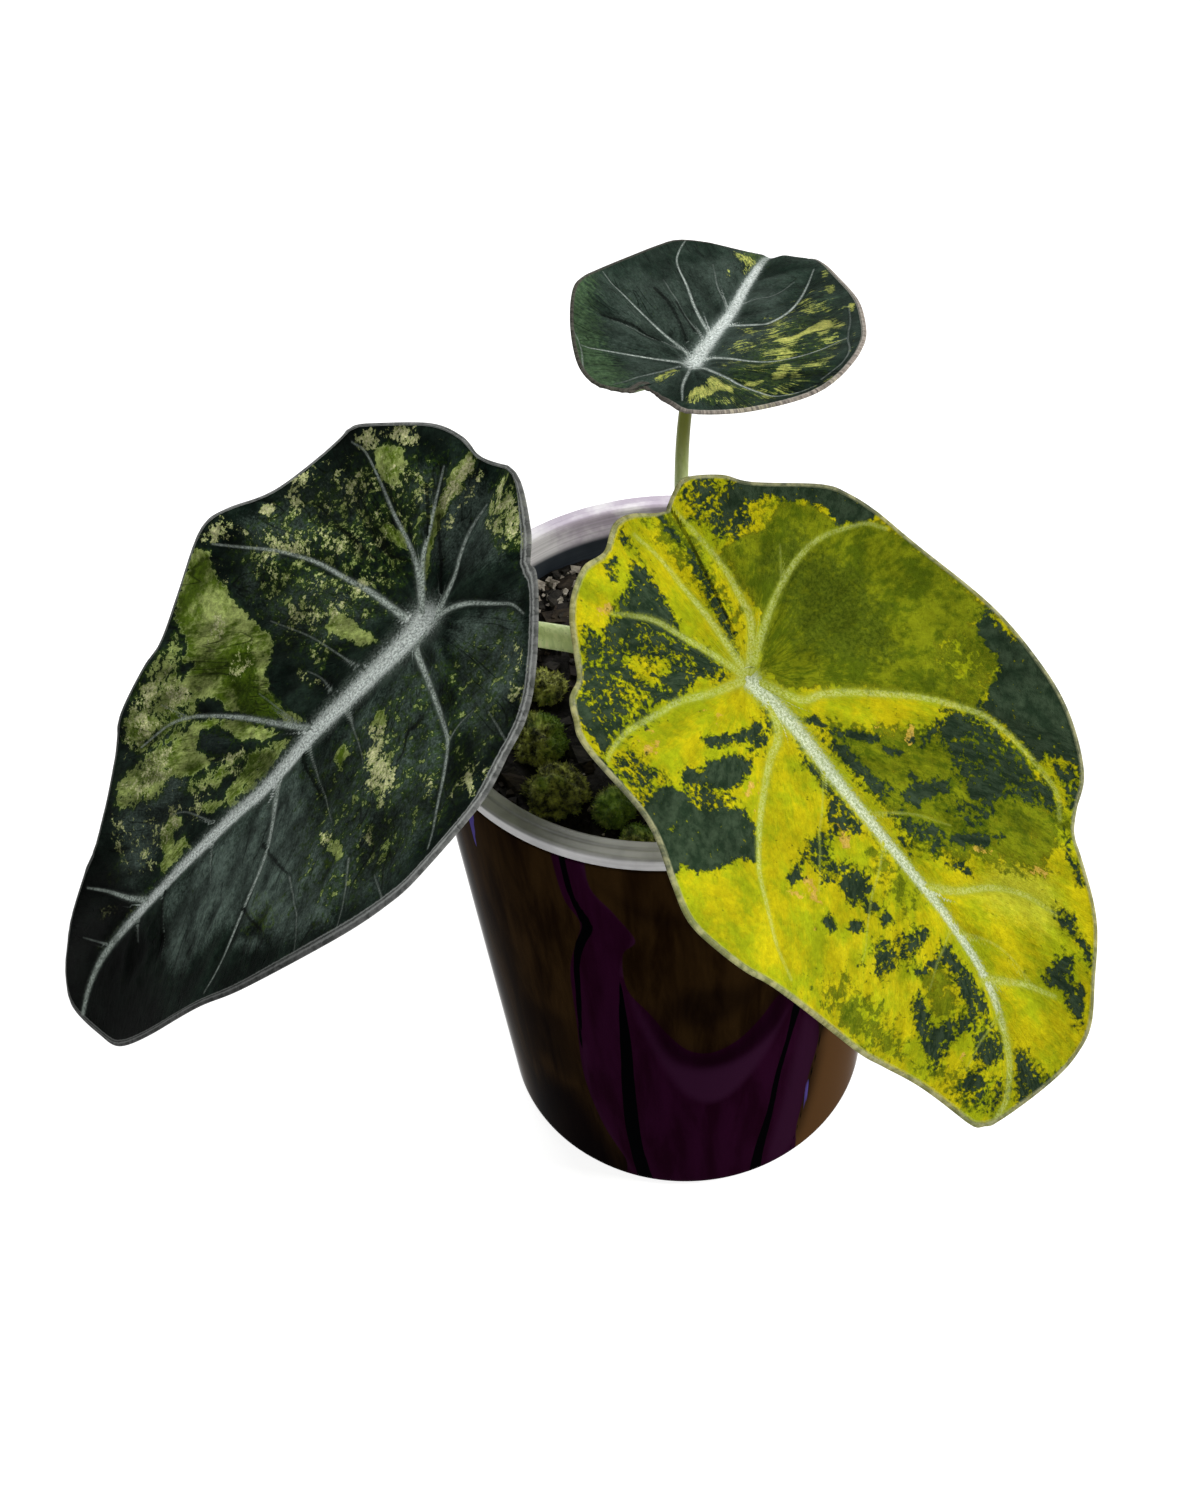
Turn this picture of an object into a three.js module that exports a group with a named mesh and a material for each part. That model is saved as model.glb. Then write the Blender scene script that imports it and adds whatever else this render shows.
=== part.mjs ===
// A young variegated black velvet alocasia: three leaves on short petioles, growing from one crown
// in a potting mix with clumps of moss, in a frosted cup that hangs by its rim in a dark cover pot.
// Millimetres, +Z up. The origin is the middle of the cover pot's flat base, on the surface it stands on.
// The viewing side is -Y, and +X is to the viewer's right.
import * as THREE from "three";

const DEG = Math.PI / 180;
const GAP = 0.3; // clearance between pieces that touch

// Cover pot: a plain round taper with an open top
const POT_HEIGHT = 133.5;
const POT_TOP_RADIUS = 49.6;
const POT_BASE_RADIUS = 43.1;
const POT_WALL = 2;
const POT_FLOOR = 3;
const POT_BASE_ROUND = 2.5;
const POT_SIDES = 56;

// Inner cup: a thin tapered wall under a stepped ring, which rests on the pot's lip
const RING_RADIUS = 50;
const RING_UNDERSIDE = POT_HEIGHT + GAP;
const RING_TOP = 137.4;
const RING_STEP = 0.5;
const RING_BAND = 2.1;
const CUP_TOP_RADIUS = 46.3;
const CUP_BASE_RADIUS = 40.6;
const CUP_WALL = 1;
const CUP_FLOOR_Z = 10;

// Potting mix: fills the cup to a little below the ring, and has a plain hole for the crown
const SOIL_LEVEL = 126;
const SOIL_RISE_LEFT = 0.03;
const SOIL_RISE_BACK = 0.045;
const SOIL_ROUGHNESS = 1.6;
const SOIL_SECTORS = 48;
const SOIL_RINGS = 10;
const CROWN_HOLE_RADIUS = 8.2;
const CROWN_HOLE_FLOOR = 112.7;

// Crown: the short thick stem that the petioles rise from
const CROWN_X = 5;
const CROWN_Y = 2;
const CROWN_TOP = 131;

// Moss clumps on the mix: middle, radius and height of each
const MOSS_CLUMPS = [
  { x: -24.7, y: 5.7, radius: 4.6, height: 5.5 },
  { x: -27, y: -8.6, radius: 6, height: 6.5 },
  { x: -24.5, y: -22.5, radius: 6.8, height: 7.5 },
  { x: -13, y: -27, radius: 4.6, height: 5.5 },
  { x: -9.5, y: -35.8, radius: 4.2, height: 4.5 },
  { x: 20, y: -27, radius: 6.2, height: 5.5 },
  { x: 27, y: 14, radius: 5.4, height: 4.8 },
];
const MOSS_SEAT = 5; // the mix is flat this far round a clump
const MOSS_SIDES = 14;
const MOSS_RINGS = 4;
const MOSS_FOOT = 0.8;

// Leaf blades
const BLADE_THICKNESS = 1;
const BLADE_STEPS = 2; // mesh steps from one outline point to the next
const VEIN_DEPTH = 0.7;
const VEIN_WIDTH = 1.8;
const MIDRIB_KEEL = 1.1;
const MIDRIB_WIDTH = 2.4;

// Each blade is measured in its own flat millimetres: [distance from the petiole joint towards the tip,
// distance to the leaf's left]. The flat blade is bent by its slope and heading along the midrib,
// which start at the joint and change by the later values per 100 mm, and is cupped across.
const BLADES = {
  left: {
    joint: [-46.1, -9.1, 168],
    heading: { start: -159, turn: -14, bend: 10 },
    slope: { start: 32, ahead: 17, behind: -50 },
    roll: { start: -2, ahead: -4 },
    tipCurl: { from: 200, rate: 0 },
    cupRadius: 190,
    sinus: { end: [-29, -11], depth: 3, width: 5 },
    dip: { depth: 1.2, radius: 7 },
    wave: { height: 0.8, count: 9, phase: 0.4 },
    rings: [0.07, 0.15, 0.24, 0.34, 0.45, 0.57, 0.69, 0.81, 0.92, 1],
    outline: [
      [-11, -43], [-15, -40], [-24.5, -29], [-27.5, -21], [-27.5, -15], [-31, -7], [-31.5, -1.5],
      [-27, 7], [-23, 12], [-23.5, 15.5], [-22, 20], [-16.5, 27.5], [-8, 37.5], [-2, 42.5], [6, 49.5],
      [20, 53], [29, 51.5], [43.5, 47.5], [66, 39.5], [78.5, 33], [96.5, 25], [109.5, 17.5],
      [114.5, 10.5], [118, 1], [116.5, -5.5], [113.5, -11], [108.5, -15.5], [98, -19], [91.5, -20],
      [85, -24.5], [78, -31], [74, -34.5], [69.5, -37], [58.5, -40], [53, -41.5], [44, -47],
      [34.5, -51.5], [28, -52.5], [22, -51], [11, -46.5], [-7, -44],
    ],
    midrib: [
      [0, 1.5], [10, 3.2], [30, 3.4], [40, 4.3], [48, 4.2],
      [60, 2.8], [80, 1], [100, -0.8], [110, 0.8], [117, 4],
    ],
    veins: [
      [[1, 4], [4, 6], [5, 14], [6, 24], [7, 30], [10, 36], [13, 41], [17, 49]],
      [[42, 5], [45, 9], [51, 17], [60, 23], [71, 30], [75.5, 32]],
      [[3, -2], [6, -12], [9, -19], [12, -26], [15, -31], [19, -36.5], [24, -42], [30, -48.5]],
      [[31, 2], [37, -5], [44, -13], [50, -19], [56, -24], [62, -27], [70, -28.5]],
      [[85, 0], [90, -5], [95, -11], [100, -16.5]],
      [[0, 0], [-4.5, -9], [-6, -15], [-7, -22], [-9, -30], [-10.5, -37], [-9.5, -41]],
      [[0, 0], [-6, -9], [-11, -13], [-16, -17], [-21, -20.5]],
      [[-2, 3], [-9, -1], [-12, -4], [-15, -6.5], [-18, -8], [-22, -8.5]],
      [[0, 3], [-5, 4], [-9, 7], [-13, 12], [-16, 16], [-17, 20]],
    ],
  },
  right: {
    joint: [13.9, -30.8, 165],
    heading: { start: -48.5, turn: 20, bend: -60 },
    slope: { start: 27.5, ahead: 20, behind: -43 },
    roll: { start: -0.5, ahead: 1 },
    tipCurl: { from: 200, rate: 0 },
    cupRadius: 110,
    sinus: { end: [-34, 5.5], depth: 3, width: 5 },
    dip: { depth: 1.2, radius: 7 },
    wave: { height: 0.8, count: 8, phase: 2.1 },
    rings: [0.07, 0.15, 0.24, 0.34, 0.45, 0.57, 0.69, 0.81, 0.92, 1],
    outline: [
      [-33.5, 8], [-36, 12], [-35.5, 15], [-32.5, 20], [-28.5, 23.5], [-20.5, 34], [-15.5, 37.5],
      [-8.5, 40], [3, 42], [20, 44.5], [32.5, 44], [41.5, 42], [50, 37.5], [54, 32.5], [57, 29.5],
      [60.5, 28], [69.5, 24.5], [77.5, 19.5], [84, 16], [87.5, 12.5], [90.5, 7.5], [95.5, -4],
      [96, -7.5], [94.5, -10.5], [83, -18.5], [75.5, -24], [67, -29.5], [44.5, -40.5], [37, -45],
      [30.5, -47], [23.5, -47.5], [17, -44.5], [7, -39.5], [-7.5, -39], [-12.5, -36.5], [-16, -33.5],
      [-18, -29], [-22, -26.5], [-27.5, -23.5], [-31, -20], [-33.5, -14.5], [-33.5, -8.5],
      [-36.5, -3.5], [-36, 1], [-33, 7],
    ],
    midrib: [
      [0, 0], [10, -0.2], [20, -0.9], [30, -1.4], [45, -0.9],
      [60, 0.5], [72, 1.2], [84, 0], [92, -2.5], [95, -5],
    ],
    veins: [
      [[0, 0], [-5, 8], [-9, 15], [-11.5, 21], [-12.5, 27], [-11.5, 32], [-9, 37], [-5, 39.5]],
      [
        [2, 1], [9, 4], [11, 8], [14, 12.5], [19, 18], [24, 23], [32, 29], [36, 30.5], [42, 31.5],
        [50, 31.5], [54, 29],
      ],
      [[50, 0], [54, 5], [57, 11], [61, 15.5], [66, 18.5]],
      [[70, 1], [74, 7.5], [78, 12]],
      [[0, 0], [-2, -8], [-4.5, -15], [-5, -20], [-5.8, -28], [-5, -34], [-4, -37]],
      [[0, 0], [-8, -3], [-13, -5.5], [-18, -8], [-21, -11], [-24, -15]],
      [[0, 0], [-10, 1.5], [-18, 2], [-26, 1.5], [-33, -1]],
      [[0, 0], [-7, 7], [-13, 9], [-20, 10], [-28, 9.5], [-33, 8.5]],
      [
        [5, 0], [11, -4], [13.5, -9], [17, -15], [21, -21], [26, -27], [31, -30.5], [38, -34.5],
        [45, -36.5],
      ],
    ],
  },
  back: {
    joint: [10.1, 23.3, 195],
    heading: { start: 66, turn: 0, bend: 0 },
    slope: { start: 11.5, ahead: 11.5, behind: -29 },
    roll: { start: 6, ahead: 0 },
    tipCurl: { from: 48, rate: 2.5 },
    cupRadius: 71,
    sinus: { end: [-17, 2.5], depth: 1.6, width: 3 },
    dip: { depth: 1, radius: 5 },
    wave: { height: 0.5, count: 6, phase: 1 },
    rings: [0.12, 0.26, 0.42, 0.58, 0.74, 0.89, 1],
    outline: [
      [4, 27], [9, 27.5], [15, 26.5], [27, 23.5], [38, 20.5], [43.5, 18.5], [48.5, 14.5], [53.5, 9],
      [58, 4.5], [65.5, 1], [61, -4], [57, -9.5], [50, -15.5], [40, -20.5], [32, -24], [17.5, -28.5],
      [8.5, -30], [2, -30], [-4, -28.5], [-9, -25.5], [-14.5, -18], [-18.5, -13], [-21.5, -8],
      [-22, -5], [-19.5, -2], [-14.5, 2.5], [-16, 5.5], [-20, 6], [-22.5, 8.5], [-23, 11.5],
      [-19.5, 16], [-13, 20], [-4, 24],
    ],
    midrib: [[0, 0], [12, -0.4], [24, -0.4], [36, 0.6], [48, 1.2], [63, 1]],
    veins: [
      [[0, 0], [-3, 6], [-5, 10], [-7, 14], [-10, 19]],
      [[2, 1], [5, 6], [8, 10.5], [11, 15], [14, 20], [16, 25]],
      [[11, 0], [20, 6], [28, 10.5], [35, 15], [40, 16.5], [46, 17]],
      [[17, -1], [20, -6], [22, -8.5], [28, -10.5], [36, -11], [50, -10]],
      [[2, 0], [4, -6], [5, -13], [8, -18], [12, -22], [17, -25]],
      [[0, 0], [-3, -7], [-5, -10], [-7, -14], [-8.5, -18], [-7, -22], [-5, -25]],
      [[0, 0], [-8, -0.7], [-16, -3]],
    ],
  },
};

// Petioles: a cubic curve from the crown to the blade's joint, and the radius at its foot, middle and top
const PETIOLE_SIDES = 10;
const PETIOLE_STEPS = 13;
const PETIOLES = {
  left: {
    route: [[0.7, 1, CROWN_TOP + GAP], [-3, -1, 145], [-24, -6, 155.5], [-46.1, -9.1, 166]],
    radii: [3.3, 2.6, 2.3],
  },
  right: {
    route: [[7.2, -1.8, CROWN_TOP + GAP], [8, -5, 146], [11, -18, 156], [13.9, -30.8, 163]],
    radii: [3.3, 2.6, 2.2],
  },
  back: {
    route: [[7.2, 5.8, CROWN_TOP + GAP], [4.7, 11, 150], [4.4, 19, 178], [10.1, 23.3, 193]],
    radii: [3.3, 1.55, 1.3],
  },
};

const LEAF = { roughness: 0.6, metalness: 0 };
const MATERIALS = {
  outer_pot: { color: 0x1d1013, roughness: 0.08, metalness: 0 },
  inner_cup: { color: 0xc9c9cf, roughness: 0.35, metalness: 0 },
  potting_mix: { color: 0x1c1712, roughness: 0.95, metalness: 0 },
  moss: { color: 0x4a5518, roughness: 0.9, metalness: 0 },
  crown: { color: 0x6f6a3c, roughness: 0.7, metalness: 0 },
  petiole: { color: 0x9aa86a, roughness: 0.45, metalness: 0 },
  blade_left: { color: 0x2a3a2a, ...LEAF },
  blade_right: { color: 0x9ea51c, ...LEAF },
  blade_back: { color: 0x35473d, ...LEAF },
};

const part = new THREE.Group();
part.name = "potted_alocasia";

function addPiece(name, geometry, material) {
  const mesh = new THREE.Mesh(geometry, new THREE.MeshStandardMaterial(MATERIALS[material]));
  mesh.name = name;
  part.add(mesh);
  return mesh;
}

// A seeded generator, so that every build is the same
function seeded(seed) {
  let state = seed;
  return () => {
    state = (state * 1664525 + 1013904223) % 4294967296;
    return state / 4294967296;
  };
}

function smooth(t) {
  const s = Math.min(Math.max(t, 0), 1);
  return s * s * (3 - 2 * s);
}

function mix(a, b, t) {
  return a + (b - a) * t;
}

// A closed surface gathered point by point and face by face
class Shell {
  constructor() {
    this.points = [];
    this.faces = [];
  }

  point(p) {
    this.points.push(p.x, p.y, p.z);
    return this.points.length / 3 - 1;
  }

  ring(points) {
    return points.map((p) => this.point(p));
  }

  // Joins two rings of the same length, facing out where upper runs anticlockwise above lower
  band(lower, upper) {
    const n = lower.length;
    for (let i = 0; i < n; i++) {
      const j = (i + 1) % n;
      this.faces.push(lower[i], lower[j], upper[j]);
      this.faces.push(lower[i], upper[j], upper[i]);
    }
  }

  fan(centre, ring, flipped = false) {
    const n = ring.length;
    for (let i = 0; i < n; i++) {
      const j = (i + 1) % n;
      this.faces.push(centre, ...(flipped ? [ring[j], ring[i]] : [ring[i], ring[j]]));
    }
  }

  geometry() {
    const made = new THREE.BufferGeometry();
    made.setAttribute("position", new THREE.Float32BufferAttribute(this.points, 3));
    made.setIndex(this.faces);
    made.computeVertexNormals();
    return made;
  }
}

// A profile of [radius, height] pairs turned about +Z
function turned(profile, sides) {
  const points = profile.map(([r, z]) => new THREE.Vector2(r, z));
  return new THREE.LatheGeometry(points, sides).rotateX(Math.PI / 2);
}

// Cover pot
function coverPot() {
  const innerTop = POT_TOP_RADIUS - POT_WALL;
  const innerBase = POT_BASE_RADIUS - POT_WALL;
  return turned([
    [0, 0],
    [POT_BASE_RADIUS - POT_BASE_ROUND, 0],
    [POT_BASE_RADIUS - 0.3 * POT_BASE_ROUND, 0.3 * POT_BASE_ROUND],
    [POT_BASE_RADIUS, POT_BASE_ROUND],
    [POT_TOP_RADIUS, POT_HEIGHT - 0.6],
    [POT_TOP_RADIUS - 0.6, POT_HEIGHT],
    [innerTop + 0.4, POT_HEIGHT],
    [innerTop, POT_HEIGHT - 0.4],
    [innerBase, POT_FLOOR],
    [0, POT_FLOOR],
  ], POT_SIDES);
}

// Inner cup with its stepped ring
function innerCup() {
  const bandOuter = RING_RADIUS - RING_BAND;
  const ringInner = bandOuter - RING_BAND;
  const edge = 0.5;
  return turned([
    [0, CUP_FLOOR_Z],
    [CUP_BASE_RADIUS - edge, CUP_FLOOR_Z],
    [CUP_BASE_RADIUS, CUP_FLOOR_Z + edge],
    [CUP_TOP_RADIUS, RING_UNDERSIDE - 1],
    [CUP_TOP_RADIUS + 0.2, RING_UNDERSIDE],
    [RING_RADIUS - edge, RING_UNDERSIDE],
    [RING_RADIUS - 0.1, RING_UNDERSIDE + edge],
    [RING_RADIUS, RING_TOP - edge],
    [RING_RADIUS - edge, RING_TOP],
    [bandOuter, RING_TOP],
    [bandOuter - 0.3, RING_TOP + RING_STEP],
    [ringInner + edge, RING_TOP + RING_STEP],
    [ringInner, RING_TOP],
    [CUP_TOP_RADIUS - CUP_WALL, RING_UNDERSIDE - 1],
    [CUP_BASE_RADIUS - CUP_WALL, CUP_FLOOR_Z + CUP_WALL],
    [0, CUP_FLOOR_Z + CUP_WALL],
  ], POT_SIDES);
}

// Inner radius of the cup at a height
function cupInside(z) {
  const t = (z - CUP_FLOOR_Z) / (RING_UNDERSIDE - 1 - CUP_FLOOR_Z);
  return mix(CUP_BASE_RADIUS, CUP_TOP_RADIUS, t) - CUP_WALL;
}

// General level of the mix. Round a clump of moss it is flat, at the clump's own level.
function soilLevel(x, y) {
  return SOIL_LEVEL - SOIL_RISE_LEFT * x + SOIL_RISE_BACK * y;
}

function soilHeight(x, y, rough) {
  const seats = MOSS_CLUMPS.filter((m) => Math.hypot(x - m.x, y - m.y) < m.radius + MOSS_SEAT);
  if (seats.length) return Math.min(...seats.map((m) => soilLevel(m.x, m.y)));
  return soilLevel(x, y) - rough;
}

// Potting mix: rings of a rough top run from the crown's hole out to the cup's wall
function pottingMix() {
  const random = seeded(11);
  const shell = new Shell();
  const wallGap = GAP + 0.1;
  const angles = Array.from({ length: SOIL_SECTORS }, (_, i) => (2 * Math.PI * i) / SOIL_SECTORS);
  const around = (r, z, x = 0, y = 0) =>
    angles.map((a) => new THREE.Vector3(x + r * Math.cos(a), y + r * Math.sin(a), z));

  const rim = cupInside(SOIL_LEVEL - 3) - wallGap;
  const hole = around(CROWN_HOLE_RADIUS, 0, CROWN_X, CROWN_Y);
  const edge = around(rim, 0);
  const top = [];
  for (let j = 0; j <= SOIL_RINGS; j++) {
    top.push(shell.ring(hole.map((h, i) => {
      const p = h.clone().lerp(edge[i], j / SOIL_RINGS);
      p.z = soilHeight(p.x, p.y, SOIL_ROUGHNESS * random());
      return p;
    })));
  }
  const floorZ = CUP_FLOOR_Z + CUP_WALL + GAP;
  const foot = shell.ring(around(cupInside(floorZ) - wallGap, floorZ));
  const holeFloor = shell.ring(around(CROWN_HOLE_RADIUS, CROWN_HOLE_FLOOR, CROWN_X, CROWN_Y));
  shell.band(foot, top[SOIL_RINGS]);
  for (let j = SOIL_RINGS; j > 0; j--) shell.band(top[j], top[j - 1]);
  shell.band(top[0], holeFloor);
  shell.fan(shell.point(new THREE.Vector3(CROWN_X, CROWN_Y, CROWN_HOLE_FLOOR)), holeFloor);
  shell.fan(shell.point(new THREE.Vector3(0, 0, floorZ)), foot, true);
  return shell.geometry();
}

// A clump of moss: a lumpy cushion on a short upright foot
function mossClump({ x, y, radius, height }, seed) {
  const random = seeded(seed);
  const shell = new Shell();
  const base = soilLevel(x, y) + GAP;
  const reach = Array.from({ length: MOSS_SIDES }, () => radius * (0.86 + 0.14 * random()));
  const around = (t, z) => reach.map((r, i) => {
    const a = (2 * Math.PI * i) / MOSS_SIDES;
    return new THREE.Vector3(x + t * r * Math.cos(a), y + t * r * Math.sin(a), z(i));
  });
  const foot = shell.ring(around(0.94, () => base));
  let outer = shell.ring(around(1, () => base + MOSS_FOOT));
  shell.band(foot, outer);
  for (let j = MOSS_RINGS - 1; j > 0; j--) {
    const t = j / MOSS_RINGS;
    const dome = base + MOSS_FOOT + (height - MOSS_FOOT) * Math.sqrt(1 - t * t);
    const inner = shell.ring(around(t, () => dome - 0.18 * height * random()));
    shell.band(outer, inner);
    outer = inner;
  }
  shell.fan(shell.point(new THREE.Vector3(x, y, base + height)), outer);
  shell.fan(shell.point(new THREE.Vector3(x, y, base)), foot, true);
  return shell.geometry();
}

// Crown: a short stem with the rings of old leaf scars
function crown() {
  return turned([
    [0, 113], [4.5, 113], [6.3, 116.5], [6.9, 121], [7.5, 124.5], [7.1, 126.5], [7.9, 128],
    [7.6, 129.2], [8.3, 130], [8.1, CROWN_TOP], [0, CROWN_TOP],
  ], 20).translate(CROWN_X, CROWN_Y, 0);
}

// Midrib of a blade: a point and its frame for each millimetre
function bladeSpine(b, from = -45, to = 130) {
  const slope = (u) => {
    const share = (u >= 0 ? b.slope.ahead : b.slope.behind) * u / 100;
    return (b.slope.start + share + Math.max(u - b.tipCurl.from, 0) * b.tipCurl.rate) * DEG;
  };
  const heading = (u) => {
    const w = Math.max(u, -10) / 100;
    return (b.heading.start + b.heading.turn * w + b.heading.bend * w * w) * DEG;
  };
  const direction = (u) => {
    const s = slope(u);
    const h = heading(u);
    return new THREE.Vector3(Math.cos(s) * Math.cos(h), Math.cos(s) * Math.sin(h), -Math.sin(s));
  };
  const points = [new THREE.Vector3()];
  for (let u = from; u < to; u++) points.push(points.at(-1).clone().add(direction(u + 0.5)));
  const shift = new THREE.Vector3(...b.joint).sub(points[-from]);
  points.forEach((p) => p.add(shift));
  const frames = points.map((p, i) => {
    const u = from + i;
    const level = new THREE.Vector3(-Math.sin(heading(u)), Math.cos(heading(u)), 0);
    const up = direction(u).cross(level);
    const roll = (b.roll.start + b.roll.ahead * u / 100) * DEG;
    const side = level.clone().multiplyScalar(Math.cos(roll)).addScaledVector(up, Math.sin(roll));
    const normal = up.multiplyScalar(Math.cos(roll)).addScaledVector(level, -Math.sin(roll));
    return { point: p, side, normal };
  });
  return (u) => {
    const i = Math.min(Math.max(Math.floor(u - from), 0), frames.length - 2);
    const t = u - from - i;
    const [a, c] = [frames[i], frames[i + 1]];
    return {
      point: a.point.clone().lerp(c.point, t),
      side: a.side.clone().lerp(c.side, t),
      normal: a.normal.clone().lerp(c.normal, t),
    };
  };
}

// Distance from (u, v) to the segment from a to c, and how far along it the nearest point lies
function toSegment(u, v, a, c) {
  const du = c[0] - a[0];
  const dv = c[1] - a[1];
  const t = Math.min(Math.max(((u - a[0]) * du + (v - a[1]) * dv) / (du * du + dv * dv), 0), 1);
  return [Math.hypot(u - a[0] - t * du, v - a[1] - t * dv), t];
}

function toLine(u, v, line) {
  return Math.min(...line.slice(1).map((c, i) => toSegment(u, v, line[i], c)[0]));
}

// Height of the blade's relief over its bent sheet: the valley at the sinus, the dip at the joint,
// the veins' grooves with the leaf puffed up between them, and the waves of the margin
function relief(b, u, v, share, round) {
  const [d, along] = toSegment(u, v, [0, 0], b.sinus.end);
  const valley = b.sinus.depth * Math.exp(-((d / b.sinus.width) ** 2)) * Math.min(along * 1.6, 1) ** 1.5;
  const dip = b.dip.depth * Math.exp(-(u * u + v * v) / b.dip.radius ** 2);
  const toVein = Math.min(...b.veins.map((line) => toLine(u, v, line)));
  const fade = smooth(share * 3) * (1 - smooth((share - 0.85) / 0.15));
  const veins = VEIN_DEPTH * Math.exp(-((toVein / VEIN_WIDTH) ** 2)) * fade;
  const rib = VEIN_DEPTH * Math.exp(-((toLine(u, v, b.midrib) / MIDRIB_WIDTH) ** 2)) * (1 - smooth((share - 0.8) / 0.2));
  const wave = b.wave.height * Math.sin(2 * Math.PI * b.wave.count * round + b.wave.phase) * share ** 3;
  return wave - valley - dip - Math.max(veins, rib);
}

// A blade: rays from the joint to the waved outline, the same on the upper face and the underside
function blade(b) {
  const spine = bladeSpine(b);
  const sheet = (u, v) => {
    const f = spine(u);
    return f.point
      .addScaledVector(f.side, Math.sin(v / b.cupRadius) * b.cupRadius)
      .addScaledVector(f.normal, (1 - Math.cos(v / b.cupRadius)) * b.cupRadius);
  };
  const normal = (u, v) => {
    const step = 0.5;
    const ahead = sheet(u + step, v).sub(sheet(u - step, v));
    const across = sheet(u, v + step).sub(sheet(u, v - step));
    return ahead.cross(across).normalize();
  };
  const curve = new THREE.CatmullRomCurve3(
    b.outline.map(([u, v]) => new THREE.Vector3(u, v, 0)), true, "catmullrom", 0.5);
  const count = b.outline.length * BLADE_STEPS;
  const margin = Array.from({ length: count }, (_, i) => curve.getPoint(i / count));

  const shell = new Shell();
  const pair = (u, v, share, round) => {
    const n = normal(u, v);
    const upper = sheet(u, v).addScaledVector(n, relief(b, u, v, share, round));
    const rib = Math.exp(-((toLine(u, v, b.midrib) / MIDRIB_WIDTH) ** 2));
    const keel = MIDRIB_KEEL * rib * smooth(share * 4) * (1 - share);
    return [upper, upper.clone().addScaledVector(n, -BLADE_THICKNESS - keel)];
  };
  const layers = b.rings.map((share) => {
    const pairs = margin.map((m, i) => pair(m.x * share, m.y * share, share, i / count));
    return [shell.ring(pairs.map((p) => p[0])), shell.ring(pairs.map((p) => p[1]))];
  });
  const [top, bottom] = pair(0, 0, 0, 0).map((p) => shell.point(p));
  shell.fan(top, layers[0][0], true);
  shell.fan(bottom, layers[0][1]);
  for (let j = 1; j < layers.length; j++) {
    for (let i = 0; i < count; i++) {
      const k = (i + 1) % count;
      const [[ti, bi], [to, bo]] = [layers[j - 1], layers[j]];
      shell.faces.push(ti[i], ti[k], to[k], ti[i], to[k], to[i]);
      shell.faces.push(bi[i], bo[k], bi[k], bi[i], bo[i], bo[k]);
    }
  }
  const [rimTop, rimBottom] = layers.at(-1);
  for (let i = 0; i < count; i++) {
    const k = (i + 1) % count;
    shell.faces.push(rimTop[i], rimTop[k], rimBottom[k], rimTop[i], rimBottom[k], rimBottom[i]);
  }
  return { geometry: shell.geometry(), seat: pair(0, 0, 0, 0)[1], facing: normal(0, 0) };
}

// A petiole: a round tapering stalk whose top is cut along the blade's underside
function petiole({ route, radii }, seat, facing) {
  const curve = new THREE.CubicBezierCurve3(...route.map((p) => new THREE.Vector3(...p)));
  const shell = new Shell();
  const cut = new THREE.Plane().setFromNormalAndCoplanarPoint(
    facing, seat.clone().addScaledVector(facing, -GAP - 0.1));
  const rings = [];
  let side = new THREE.Vector3(1, 0, 0);
  for (let k = 0; k <= PETIOLE_STEPS; k++) {
    const t = k / PETIOLE_STEPS;
    const centre = curve.getPoint(t);
    const along = k === 0 ? new THREE.Vector3(0, 0, 1) : curve.getTangent(t);
    side = side.clone().addScaledVector(along, -side.dot(along)).normalize();
    const other = along.clone().cross(side);
    const half = t < 0.5 ? mix(radii[0], radii[1], t * 2) : mix(radii[1], radii[2], t * 2 - 1);
    const ring = [];
    for (let i = 0; i < PETIOLE_SIDES; i++) {
      const a = (2 * Math.PI * i) / PETIOLE_SIDES;
      const p = centre.clone()
        .addScaledVector(side, half * Math.cos(a))
        .addScaledVector(other, half * Math.sin(a));
      const over = cut.distanceToPoint(p);
      if (k === PETIOLE_STEPS || over > 0) p.addScaledVector(along, -over / facing.dot(along));
      ring.push(p);
    }
    rings.push(shell.ring(ring));
  }
  for (let k = 1; k < rings.length; k++) shell.band(rings[k - 1], rings[k]);
  const middle = (ring) => {
    const sum = new THREE.Vector3();
    ring.forEach((i) => sum.add(new THREE.Vector3().fromArray(shell.points, i * 3)));
    return shell.point(sum.divideScalar(ring.length));
  };
  shell.fan(middle(rings[0]), rings[0], true);
  shell.fan(middle(rings.at(-1)), rings.at(-1));
  return shell.geometry();
}

addPiece("outer_pot", coverPot(), "outer_pot");
addPiece("inner_cup", innerCup(), "inner_cup");
addPiece("potting_mix", pottingMix(), "potting_mix");
addPiece("crown", crown(), "crown");
MOSS_CLUMPS.forEach((clump, i) => {
  addPiece(`moss_${i + 1}`, mossClump(clump, 40 + i), "moss");
});
for (const side of Object.keys(BLADES)) {
  const made = blade(BLADES[side]);
  addPiece(`blade_${side}`, made.geometry, `blade_${side}`);
  addPiece(`petiole_${side}`, petiole(PETIOLES[side], made.seat, made.facing), "petiole");
}

export default part;
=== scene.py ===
import math

import bpy
import numpy as np
from mathutils import Matrix, Vector


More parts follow.
